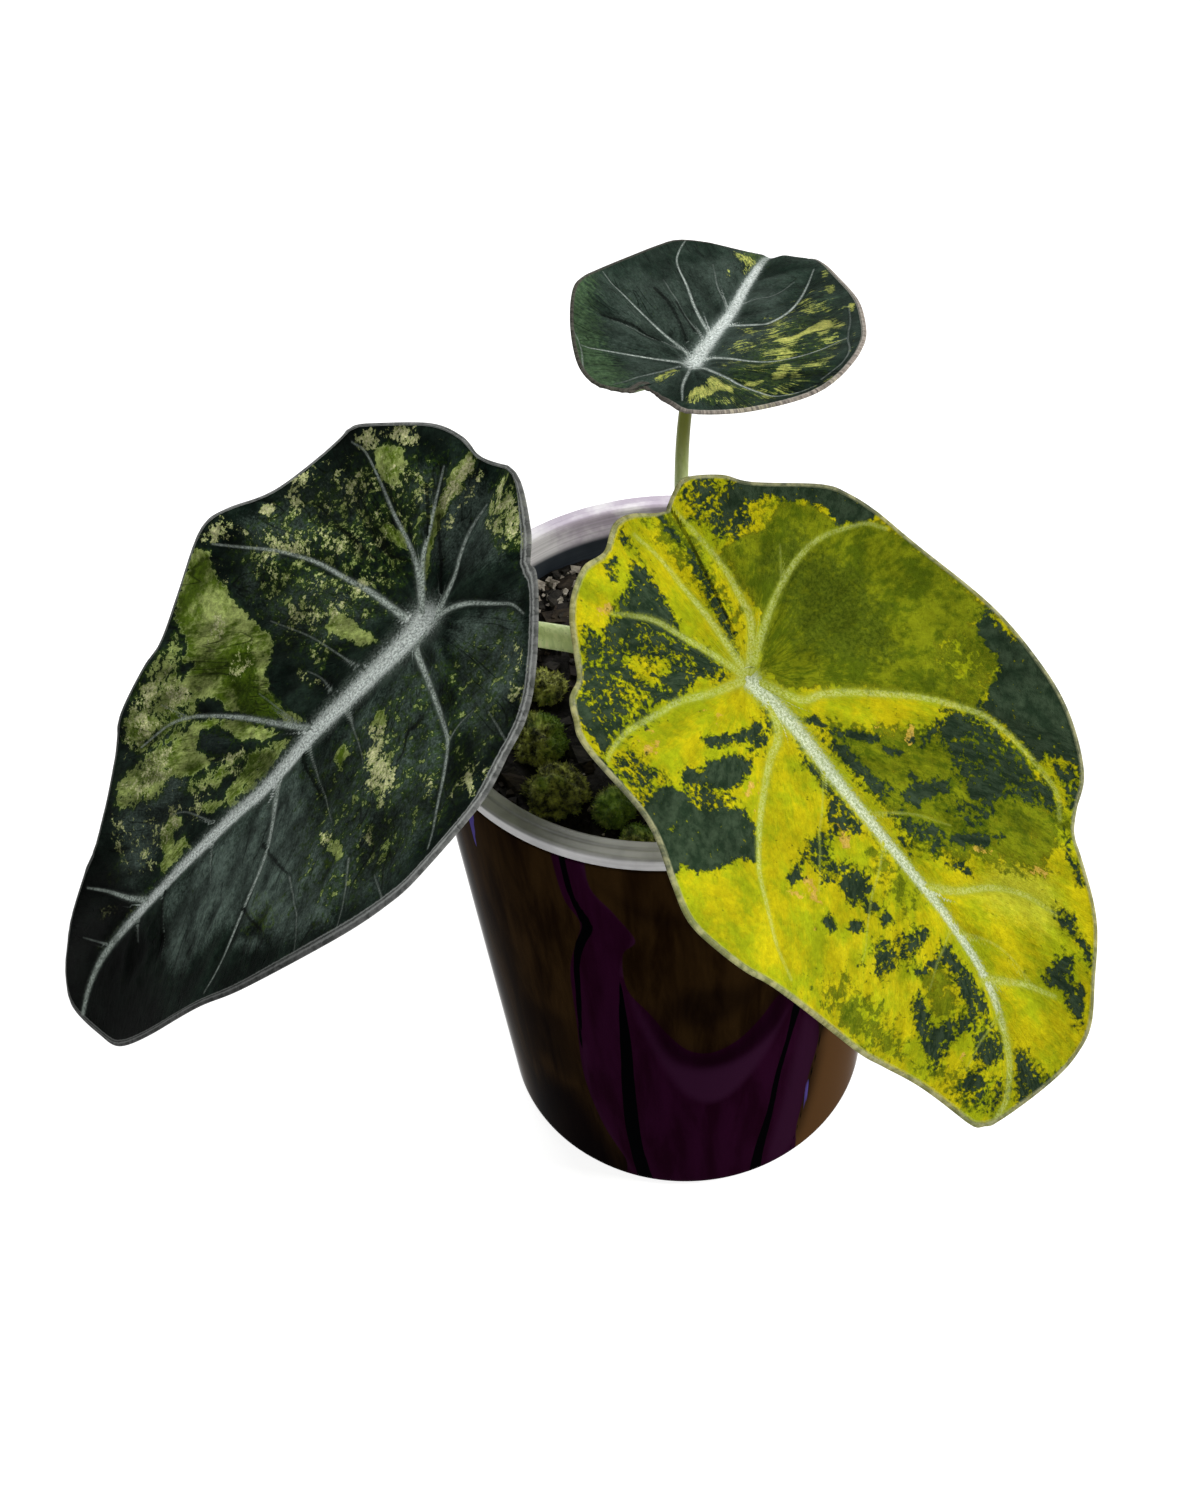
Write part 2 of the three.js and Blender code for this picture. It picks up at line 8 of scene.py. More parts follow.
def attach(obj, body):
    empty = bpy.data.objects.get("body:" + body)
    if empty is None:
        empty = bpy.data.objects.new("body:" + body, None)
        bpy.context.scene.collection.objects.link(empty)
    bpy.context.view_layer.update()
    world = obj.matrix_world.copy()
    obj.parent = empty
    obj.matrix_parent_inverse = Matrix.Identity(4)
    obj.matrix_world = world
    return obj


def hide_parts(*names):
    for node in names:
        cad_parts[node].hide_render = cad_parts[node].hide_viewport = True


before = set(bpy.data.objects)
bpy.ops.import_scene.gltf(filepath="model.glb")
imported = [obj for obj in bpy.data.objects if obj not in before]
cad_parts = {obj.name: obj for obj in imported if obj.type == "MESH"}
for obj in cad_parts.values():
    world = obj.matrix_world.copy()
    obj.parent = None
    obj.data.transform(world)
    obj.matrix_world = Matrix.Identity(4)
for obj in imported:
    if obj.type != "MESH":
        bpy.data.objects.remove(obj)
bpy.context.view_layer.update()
MM = 0.001
LUMP_TABLE = 64

# What the blades share, lengths in millimetres. The minor veins, the puffs between the veins, the
# ridges under them and the bead along the margin are only in the scene. The bead's place and width are
# in widths of the pale rim. UNDER_SHARES are the rows of the underside, from the margin in.
BLADE_THICKNESS = 1.0
RIM_THICKNESS = 0.6
RIM_ROWS = 4
MIDRIB_WIDTH = 2.4
MIDRIB_KEEL = 1.1
VEIN_DEPTH = 0.7
VEIN_WIDTH = 1.8
VEIN_LEAN = math.radians(42)
MINOR_DEPTH = 0.22
MINOR_WIDTH = 0.8
RIDGE_HEIGHT = 0.3
RIDGE_WIDTH = 1.2
PUFFS_APART = 3.5
BEAD_HEIGHT = 0.2
BEAD_PLACE = 0.6
BEAD_WIDTH = 0.5
UNDER_SHARES = np.linspace(1, 0, 20)[1:-1]

# Fields on the blades that the looks read: reach and step along the veins, how strong each kind of
# line is, and the value far from the margin and outside all tissue
VEIN_REACH = 6.0
VEIN_STEP = 0.6
MIDRIB_STRENGTH = 1.0
VEIN_STRENGTH = 0.6
MINOR_STRENGTH = 0.25
FOLD_STRENGTH = -0.6
FOLD_WIDTHS = (0.5, 0.25)
CLEAR = 20.0
EMPTY = -1.6

# Shape of each blade, in millimetres and degrees, as in the CAD: u runs from the petiole's joint to
# the tip and v to the leaf's left. heading, slope and roll are the midrib's direction at the joint and
# its change along u. cup is the radius of the bend across the midrib. sinus is the end, depth and
# width of the valley to the notch, dip the depth and width of the hollow at the joint, and wave the
# height, number and phase of the margin's waves. curl is where the tip starts to curl down and by how
# much. Only in the scene: lift is the height, place and width of a raised spot, rim the width of the
# pale margin (left behind, left in front, right), tear how wide the tissue's torn edges are, and minor
# and folds are the thin veins and the folds, which the looks draw as lines of painted shade.
LEFT = dict(
    joint=(-46.1, -9.1, 168), heading=(-159, -14, 10), slope=(32, 17, -50), roll=(-2, -4),
    cup=190, sinus=((-29, -11), 3, 5), dip=(1.2, 7), wave=(0.8, 9, 0.4), rim=(1.35, 0.75, 0.3), tear=1.7,
    outline=[(-11, -43), (-15, -40), (-24.5, -29), (-27.5, -21), (-27.5, -15), (-31, -7), (-31.5, -1.5),
        (-27, 7), (-23, 12), (-23.5, 15.5), (-22, 20), (-16.5, 27.5), (-8, 37.5), (-2, 42.5), (6, 49.5),
        (20, 53), (29, 51.4), (43.5, 46.8), (66, 38.6), (78.5, 32.8), (96.5, 25), (109.5, 17.5),
        (114.5, 10.5), (118, 1), (116.5, -5.5), (113.5, -11), (108.5, -15.5), (98, -19), (91.5, -20),
        (85, -24.5), (78, -31), (74, -34.5), (69.5, -37), (58.5, -40), (53, -41.5), (44, -46.6),
        (34.5, -51.2), (28, -52.5), (22, -51), (11, -46.5), (-7, -44)],
    midrib=[(0, 1.5), (10, 3.2), (30, 3.4), (40, 4.3), (48, 4.2), (60, 2.8), (80, 1), (100, -0.8),
        (110, 0.8), (117, 4)],
    veins=[
        [(1, 4), (4, 6), (5, 14), (6, 24), (7, 30), (10, 36), (13, 41), (17, 49)],
        [(42, 5), (45, 9), (51, 17), (60, 23), (71, 30), (75.5, 32)],
        [(3, -2), (6, -12), (9, -19), (12, -26), (15, -31), (19, -36.5), (24, -42), (30, -48.5)],
        [(31, 2), (37, -5), (44, -13), (50, -19), (56, -24), (62, -27), (70, -28.5)],
        [(85, 0), (90, -5), (95, -11), (100, -16.5)],
        [(0, 0), (-4.5, -9), (-6, -15), (-7, -22), (-9, -30), (-10.5, -37), (-9.5, -41)],
        [(0, 0), (-6, -9), (-11, -13), (-16, -17), (-21, -20.5)],
        [(-2, 3), (-9, -1), (-12, -4), (-15, -6.5), (-18, -8), (-22, -8.5)],
        [(0, 3), (-5, 4), (-9, 7), (-13, 12), (-16, 16), (-17, 20)],
    ],
    minor=[
        [(22, 5), (22.5, 12), (23.5, 19)], [(33, 35), (36, 41), (40, 47)],
        [(47, 27), (48, 36), (50.5, 43)], [(15, 2), (19, -8), (22, -15), (28, -25)],
        [(23, 2), (24, -5), (26, -9)], [(33, -1), (36, -9), (38, -14)], [(61, 0), (66, -7), (70, -10)],
        [(101, -2), (107, -9)], [(28.5, 50), (29, 43)], [(-2.5, 42), (-2, 31)],
        [(63, 3), (64.5, 7), (67, 11)], [(80, 1), (82, 6), (87, 13)], [(90, 1), (92, 5)],
        [(33, 5), (33.5, 13), (34, 24)], [(6, 29.5), (0, 28.5)], [(56, -24), (60, -31)],
    ],
    folds=[
        [(51, 15), (49.5, 19.5), (48, 23.5), (47, 26)],
        [(60.5, 23), (59, 26.5), (57.5, 30.5), (56.5, 32.5)],
        [(34.5, 6), (35, 10), (34.5, 14), (34.5, 18)], [(79.5, 2), (83, 6.5), (86.5, 11.5), (87.5, 14)],
        [(9, 21), (11, 21.5), (12.5, 21.5), (15, 25), (16.5, 25.5)], [(-1, -18), (-1.5, -15), (-4, -11)],
        [(4.5, -29.5), (3, -25), (2.5, -21), (1, -15.5)], [(-16, -20), (-13, -16), (-9.5, -12)],
        [(-14, -13.5), (-10, -7.5), (-5.5, -0.5)],
    ],
)
RIGHT = dict(
    joint=(13.9, -30.8, 165), heading=(-48.5, 20, -60), slope=(27.5, 20, -43), roll=(-0.5, 1),
    cup=110, sinus=((-34, 5.5), 3, 5), dip=(1.2, 7), wave=(0.8, 8, 2.1), rim=(0.4, 0.4, 0.7), tear=1.7,
    outline=[(-33.5, 8), (-36, 12), (-35.5, 15), (-32.5, 20), (-28.5, 23.5), (-20.5, 34), (-15.5, 37.5),
        (-8.5, 40), (3, 42), (20, 44.5), (32.5, 44), (41.5, 42), (50, 37.5), (54, 32.5), (57, 29.5),
        (60.5, 28), (69.5, 24.5), (77.5, 19.5), (84, 16), (87.5, 12.5), (90.5, 7.5), (95.5, -4),
        (96, -7.5), (94.5, -10.5), (83, -18.5), (75.5, -24), (67, -29.5), (44.5, -40.5), (37, -45),
        (30.5, -47), (23.5, -47.5), (17, -44.5), (7, -39.5), (-7.5, -39), (-12.5, -36.5), (-16, -33.5),
        (-18, -29), (-22, -26.5), (-27.5, -23.5), (-31, -20), (-33.5, -14.5), (-33.5, -8.5),
        (-36.5, -3.5), (-36, 1), (-33, 7)],
    midrib=[(0, 0), (10, -0.2), (20, -0.9), (30, -1.4), (45, -0.9), (60, 0.5), (72, 1.2), (84, 0),
        (92, -2.5), (95, -5)],
    veins=[
        [(0, 0), (-5, 8), (-9, 15), (-11.5, 21), (-12.5, 27), (-11.5, 32), (-9, 37), (-5, 39.5)],
        [(2, 1), (9, 4), (11, 8), (14, 12.5), (19, 18), (24, 23), (32, 29), (36, 30.5), (42, 31.5),
            (50, 31.5), (54, 29)],
        [(50, 0), (54, 5), (57, 11), (61, 15.5), (66, 18.5)],
        [(70, 1), (74, 7.5), (78, 12)],
        [(0, 0), (-2, -8), (-4.5, -15), (-5, -20), (-5.8, -28), (-5, -34), (-4, -37)],
        [(0, 0), (-8, -3), (-13, -5.5), (-18, -8), (-21, -11), (-24, -15)],
        [(0, 0), (-10, 1.5), (-18, 2), (-26, 1.5), (-33, -1)],
        [(0, 0), (-7, 7), (-13, 9), (-20, 10), (-28, 9.5), (-33, 8.5)],
        [(5, 0), (11, -4), (13.5, -9), (17, -15), (21, -21), (26, -27), (31, -30.5), (38, -34.5),
            (45, -36.5)],
    ],
    minor=[
        [(58, 1), (62, -6), (66, -10)], [(38, -1), (44, -10), (53, -20)],
        [(21, -1), (28, -10), (37, -20)], [(77, 1), (80, -5), (84, -9)], [(33, 0), (38, 6), (44, 11)],
        [(-10, 17), (-16, 21)], [(60, 1), (66, 6), (74, 9)],
    ],
    folds=[
        [(-36, 8), (-30, 8.3), (-20, 6.5), (-8, 3.4)],
    ],
)
BACK = dict(
    joint=(10.1, 23.3, 195), heading=(66, 0, 0), slope=(11.5, 11.5, -29), roll=(6, 0),
    cup=71, sinus=((-17, 2.5), 1.6, 3), dip=(1, 5), wave=(0.5, 6, 1), rim=(0.3, 0.3, 0.5), tear=1.3,
    curl=(48, 2.5), lift=(2, 57, -4.5, 9),
    outline=[(4, 26.8), (9, 27), (15, 26), (27, 23.3), (38, 20.5), (43.5, 18.2), (48, 13.8), (52, 8),
        (56.5, 3.6), (65, 1), (61, -4), (56.3, -9), (49, -14.4), (40, -20.2), (32, -24), (17.5, -28.5),
        (8.5, -30), (2, -30), (-4, -28.4), (-8.6, -25), (-14, -17.7), (-18.1, -12.8), (-21.4, -8),
        (-22, -5), (-18.7, -1.6), (-13.3, 2.4), (-14.9, 5.2), (-20, 6.2), (-22.2, 8.5), (-22.3, 11.5),
        (-18.7, 15.6), (-12.5, 19.6), (-4, 23.9)],
    midrib=[(0, 0), (12, -0.4), (24, -0.4), (36, 0.6), (48, 1.2), (63, 1)],
    veins=[
        [(0, 0), (-3, 6), (-5, 10), (-7, 14), (-10, 19)],
        [(2, 1), (5, 6), (8, 10.5), (11, 15), (14, 20), (16, 25)],
        [(11, 0), (20, 6), (28, 10.5), (35, 15), (40, 16.5), (46, 17)],
        [(17, -1), (20, -6), (22, -8.5), (28, -10.5), (36, -11), (50, -10)],
        [(2, 0), (4, -6), (5, -13), (8, -18), (12, -22), (17, -25)],
        [(0, 0), (-3, -7), (-5, -10), (-7, -14), (-8.5, -18), (-7, -22), (-5, -25)],
        [(0, 0), (-8, -0.7), (-16, -3)],
    ],
    minor=[
        [(9, 1), (18, 9), (26, 15)], [(-3, 2), (-12, 6.3), (-20, 9)],
        [(-20, 15), (-11, 19), (-7, 22.5), (0, 25.8)],
        [(-3, -25.5), (2, -28), (8, -28), (16, -25.5), (24, -24), (33, -21.5)],
        [(28, -1), (34, -6), (42, -8)], [(24, 0.5), (31, 5), (40, 9)], [(3, 3), (3, 10), (2, 20)],
    ],
    folds=[
        [(20.5, 15), (16.5, 10.5), (9.5, 5.5), (6, 3.5)], [(2, 19.5), (3, 16.5), (3.5, 11.5), (3, 7.5)],
        [(18, 9.5), (14.5, 6.5), (10, 3)],
    ],
)

# Tissue of each blade: (kind, how full it is from -1 to 1, softness of its edge in mm, outline)
# At 1 a sector is solid, about 0 it is broken into speckles, and a negative one only has a few.
# Sectors of sheen are not tissue: they hold painted sheen and painted highlights on the blade
LEFT_TISSUE = [
    ("lime", 1, 1.2, [(31, 0), (33.5, -5), (35.5, -11), (34, -16), (29.5, -20), (29, -22.5), (31, -28),
        (32.5, -35), (33, -44), (31, -48), (34, -51), (41, -49), (48, -43), (47, -36.5), (50, -33.5),
        (48, -31.5), (53.5, -30.5), (53, -26), (47.5, -21), (46, -16), (41.5, -11.5), (38, -9.5),
        (36, -3)]),
    ("deep", 0.8, 2, [(33, -4), (43, -8), (45, -16), (44, -24), (36, -28), (33, -24), (36, -15)]),
    ("lime", 0.9, 1.2, [(37, -2.5), (41, -3.5), (46, -8), (48, -12), (50, -16), (54, -18), (57, -16),
        (54, -11), (56, -9.5), (61, -12), (66, -16), (66, -21), (60, -22.5), (54, -21.5), (50, -19),
        (44, -13)]),
    ("lime", 0.6, 1.2, [(34, 1), (41, 2), (47, 3), (55, 2), (57, -1), (53, -2.5), (49, -4), (45, -5.5),
        (41, -3)]),
    ("light", 0.11, 1.2, [(44, -5), (47, -5), (53, -8), (54, -10), (49, -9), (45, -7)]),
    ("lime", 0.25, 1.5, [(46, -4), (56, -4), (63, -8), (66, -13), (56, -10), (48, -8)]),
    ("lime", 0.8, 0.8, [(55.5, 0), (60, -1), (62, -4), (61, -5.5), (58, -3.5)]),
    ("lime", 0.7, 0.8, [(68, 0.5), (78, -0.5), (78, -3), (75.5, -3.5), (76, -9), (70.5, -10.5),
        (67, -7.5), (68, -5), (71, -6), (71.5, -3.5), (68, -3)]),
    ("lime", 0.5, 1.5, [(65, -16), (70, -14.5), (77, -18), (81.5, -20), (82, -24), (80, -28), (72, -26.5),
        (63, -25), (62, -21)]),
    ("light", 0.02, 2, [(60, -15), (77, -17), (80, -26), (70, -26), (60, -23)]),
    ("lime", 0.5, 1, [(53.5, -26.5), (58, -26), (61, -29), (60.5, -34), (56, -34.5), (54, -31)]),
    ("lime", 0.7, 1, [(62, -28), (68, -28), (72.5, -30.5), (71.5, -35.5), (66, -36.5), (64, -33),
        (61.5, -30)]),
    ("light", 0.06, 1.5, [(50, -24), (58, -27), (66, -27.5), (76, -29), (72, -36), (60, -38.5), (52, -36),
        (51, -30)]),
    ("lime", 0.2, 2, [(48, -32), (60, -32), (67, -38), (54, -40.5), (48, -42)]),
    ("light", -0.16, 1.5, [(77, -3), (81, -3), (82, -9), (79, -9)]),
    ("light", -0.21, 1.5, [(82, -10), (88, -10), (89, -16), (84, -22), (80, -18)]),
    ("light", -0.29, 1.5, [(90, -3), (100, -5), (100, -11), (94, -9)]),
    ("lime", 0.12, 1, [(78, -0.5), (103, -1.8), (104, -3.5), (96, -3), (80, -2)]),
    ("lime", 0.95, 1, [(9.5, -1), (12.5, -3), (15, -6), (17.5, -11), (19, -14), (16.5, -14.3),
        (15.5, -17), (13.5, -14), (12, -9.5), (10.5, -6)]),
    ("light", 0.19, 1, [(12, -28), (15, -30.5), (20, -35), (17, -38), (13, -34)]),
    ("lime", 0.9, 1, [(-14, -26), (-12, -24.5), (-9.5, -28), (-9.5, -33), (-12, -35), (-16, -34),
        (-17.5, -29.5)]),
    ("light", 0, 1.5, [(-21, -27), (-17, -29), (-16.5, -34), (-10, -35.5), (-9, -42), (-16, -40),
        (-24, -30)]),
    ("lime", 0.9, 0.8, [(-6.3, -15), (-4.8, -13), (-2.7, -18), (-2.5, -22), (-5, -22.2), (-6.5, -18.5)]),
    ("lime", 0.9, 1, [(-2, -2), (-5, -5.5), (-9, -9), (-14, -12), (-19, -13.5), (-27, -15.5), (-28, -18),
        (-20, -18), (-13, -15), (-8, -11), (-4, -7)]),
    ("light", 0.3, 1, [(-15, -12.5), (-20, -13.8), (-28, -15.5), (-28, -18), (-19, -17.5), (-15, -15)]),
    ("light", 0.15, 1, [(-13, -9.5), (-21, -11), (-27, -12.5), (-28, -14.3), (-20, -12.8), (-13, -11.3)]),
    ("lime", 0.04, 3, [(-33, -6), (-32, 4), (-24, 12), (-19, 6), (-20, -6), (-25, -10), (-30, -11)]),
    ("light", -0.1, 2.5, [(-33, -4), (-31, 4), (-24, 12), (-20, 8), (-19, -4), (-24, -9), (-29, -8)]),
    ("light", 0.8, 0.5, [(12.5, -43), (15.5, -42.5), (17.5, -45.5), (15, -46.8), (13, -44.8)]),
    ("light", 0.35, 0.8, [(20.5, -42.5), (22.5, -43), (25, -47), (24, -49.5), (21.5, -46)]),
    ("light", -0.16, 1.5, [(-3, -41), (6, -40.5), (12, -43.5), (8, -47), (-4, -45)]),
    ("light", -0.16, 1.5, [(6, -34), (12, -35), (12, -41), (6, -39)]),
    ("light", 0.06, 1.5, [(24, -45), (31, -48), (33, -52), (24, -52)]),
    ("light", 0.8, 0.5, [(5.1, 40), (6.5, 39.6), (7.2, 45.5), (5.8, 46.8), (5, 43)]),
    ("light", 0.5, 0.5, [(9, 41), (10.4, 41.3), (10.4, 44.2), (9.2, 44.2)]),
    ("light", -0.26, 1.5, [(2, 37), (9, 37), (11, 44), (7, 49), (0, 44)]),
    ("light", -0.05, 1, [(11.5, 33), (14.5, 34), (14.5, 39.5), (12, 40)]),
    ("light", -0.26, 2, [(-15, 21), (-8, 22), (-4, 35), (-9, 38), (-14, 31)]),
    ("lime", 0.85, 0.8, [(14.5, 12), (17, 11.3), (18.8, 13), (17.5, 15.5), (14.7, 15.5)]),
    ("lime", 0.85, 0.8, [(24.5, 12), (27, 11), (29.6, 13), (28, 15), (25, 14.8)]),
    ("lime", 0.3, 1, [(33, 35), (36, 33.5), (37.5, 29), (36, 25.5), (34, 28), (33, 31)]),
    ("lime", -0.2, 2, [(21, 36), (28, 36), (30, 45), (22, 45)]),
    ("lime", -0.28, 2, [(13, 9), (19, 15), (26, 20), (26, 32), (17, 31), (13, 20)]),
    ("light", 0.03, 1.5, [(17, 24), (20.5, 24), (24.5, 29), (24.5, 32), (20, 31.5), (17, 28)]),
    ("light", -0.13, 1.5, [(20, 19), (25, 19), (26, 27), (21, 26)]),
    ("light", -0.13, 1.5, [(13.5, 15), (18, 15), (18, 21), (14, 21)]),
    ("light", -0.05, 1.2, [(25.5, 39), (28.5, 40), (28.5, 45), (26, 45)]),
    ("lime", -0.35, 4, [(-28, -18), (2, -4), (28, -4), (31, -30), (31, -47), (6, -44), (-14, -38)]),
    ("lime", -0.5, 4, [(-20, 16), (2, 8), (36, 8), (50, 30), (44, 46), (10, 50), (-10, 36)]),
    ("light", -0.43, 4, [(-28, -20), (2, -8), (26, -6), (30, -22), (30, -46), (4, -44), (-14, -38)]),
    ("light", -0.33, 3, [(40, 0), (88, -4), (84, -22), (70, -14), (46, -8)]),
    ("light", 0, 1, [(37, -27), (39, -30), (44, -31), (47, -30), (46, -33), (42, -35), (38, -37),
        (36, -33)]),
    ("light", 0.05, 1, [(31, -36), (33, -40), (33, -46), (36, -49), (34, -50), (31, -47), (31, -42)]),
    ("light", -0.1, 1.5, [(33, -24), (38, -26), (43, -24), (44, -20), (40, -18), (36, -20)]),
    ("deep", -0.15, 4, [(60, 20), (66, 30), (58, 37), (48, 38), (46, 30), (52, 22)]),
    ("deep", -0.2, 4, [(84, -8), (98, -8), (98, -17), (86, -19), (80, -16)]),
    ("lime", 0.15, 2, [(52, -20), (64, -21), (72, -27), (74, -33), (62, -37), (50, -36)]),
    ("dark", 0.9, 0.8, [(47.5, -9.5), (51.5, -9.5), (55, -13), (56.5, -16), (54, -17.8), (50.5, -15)]),
    ("light", 0.12, 1.2, [(10.5, -45), (6.5, -42), (7.5, -37.5), (10, -36), (11, -40)]),
    ("light", -0.13, 1.5, [(4, -45), (-1.5, -42.5), (2.5, -41), (4.5, -37), (6, -39.5)]),
    ("light", 0.09, 1.5, [(10.5, -30), (7.5, -29.5), (4.5, -26.5), (6.5, -20), (9, -20.5), (10, -26)]),
    ("light", -0.18, 1.5, [(-2.5, -38.5), (-5, -36.5), (-8, -38), (-10, -35.5), (-8, -33.5),
        (-1, -31.5)]),
    ("lime", 0.35, 2, [(17.5, -37), (13, -32.5), (11.5, -28.5), (14.5, -30.5), (18, -36)]),
    ("lime", 0.25, 2, [(-1.5, -28.5), (-3.5, -26.5), (-1.5, -23.5), (0.5, -26)]),
    ("light", -0.18, 2, [(24, -31.5), (20, -29), (14, -25), (15, -30), (19.5, -33.5)]),
    ("lime", 0.4, 1, [(22.5, -23), (20.5, -22), (20, -19), (22.5, -20.5)]),
    ("deep", -0.1, 3, [(20.5, -35.5), (15, -30), (11, -19.5), (14, -19.5), (19, -24), (24, -29.5)]),
    ("light", 0.02, 1.2, [(28.5, -13), (23, -4.5), (24.5, -3.5), (28.5, -8)]),
    ("light", 0.27, 1.5, [(-13.5, -40), (-21.5, -31), (-20, -28.5), (-17.5, -30.5), (-16, -34),
        (-11.5, -35.5)]),
    ("light", 0.7, 0.6, [(-11, -41.5), (-12.5, -39.5), (-11.5, -38.5), (-10, -40)]),
    ("light", 0.07, 2, [(-23, -7), (-31, -0.5), (-28.5, 4), (-24, 1.5), (-21, -2.5)]),
    ("light", -0.03, 2, [(-24, 1.5), (-25.5, 7.5), (-22, 12.5), (-21, 9.5)]),
    ("light", -0.03, 2, [(-9, 22), (-14.5, 25), (-11, 31), (-8, 29.5)]),
    ("light", 0.07, 1.5, [(20, 10.5), (15, 15.5), (18.5, 27), (24, 28.5), (27, 23), (22.5, 18.5)]),
    ("light", 0.17, 1.2, [(37.5, 23.5), (34.5, 26), (34.5, 29.5), (36, 31), (38.5, 27)]),
    ("light", 0.07, 1.2, [(29.5, 32.5), (26.5, 33.5), (27, 37.5), (30, 36)]),
    ("deep", 0, 3, [(39, 28), (34, 29.5), (32, 34), (36, 37.5), (41.5, 33)]),
    ("lime", 0.35, 1.5, [(29, 36.5), (27, 38.5), (27.5, 41), (29.5, 39)]),
    ("nap", 0.85, 3, [(54.5, 14), (50.5, 22.5), (50, 31), (54, 31.5), (59, 25), (59, 20)]),
    ("nap", 0.8, 3, [(79.5, 5.5), (74, 9), (76, 16.5), (78.5, 23), (84, 20.5), (86.5, 14)]),
    ("nap", 0.65, 3, [(67.5, 2), (59.5, 6.5), (55, 15.5), (60, 19.5), (68, 23), (74, 23.5), (73.5, 6.5)]),
    ("nap", 0.45, 3, [(39.5, 6.5), (36.5, 13), (36.5, 22), (41, 26), (42.5, 13)]),
    ("nap", 0.7, 2, [(62.5, 28), (57.5, 32), (56.5, 36.5), (61.5, 34), (65, 29)]),
    ("nap", -0.3, 3, [(10, -43), (-4.5, -41), (-8, -35.5), (-4.5, -24), (2.5, -24.5), (9.5, -34.5)]),
    ("nap", 0.2, 3, [(27, -40.5), (21, -36), (26.5, -30), (30.5, -30.5), (31.5, -37.5)]),
    ("nap", 0.2, 3, [(-2.5, 6.5), (-12, 12), (-15.5, 22), (-9, 33), (-1.5, 24), (-1, 13)]),
    ("nap", 0.5, 3, [(36, 7), (45, 7), (60, 5), (78, 4), (84, 8), (85, 14), (79, 21), (74, 23), (66, 24),
        (58, 31), (55, 38), (40, 46), (36, 30)]),
    ("nap", -0.15, 3, [(-4, 4), (20, 7), (40, 7), (42, 26), (40, 46), (26, 50), (8, 44), (4, 30),
        (-2, 12)]),
    ("nap", 0.25, 3, [(-3, 7), (-14, 11), (-20, 16), (-14, 28), (-4, 38), (4, 41), (4, 30)]),
    ("nap", -0.25, 3, [(6, -45), (22, -49), (28, -44), (28, -36), (8, -28), (-4, -20), (-6, -34)]),
    ("nap", 0.05, 3, [(-6, -8), (-10, -22), (-18, -26), (-26, -14), (-26, 0), (-20, 8), (-10, 2)]),
    ("nap", 0.1, 3, [(62, -10), (76, -5), (88, -4), (90, -12), (84, -20), (70, -26), (60, -27)]),
    ("nap", -0.2, 3, [(4, -4), (18, -6), (30, -20), (30, -34), (10, -24)]),
]
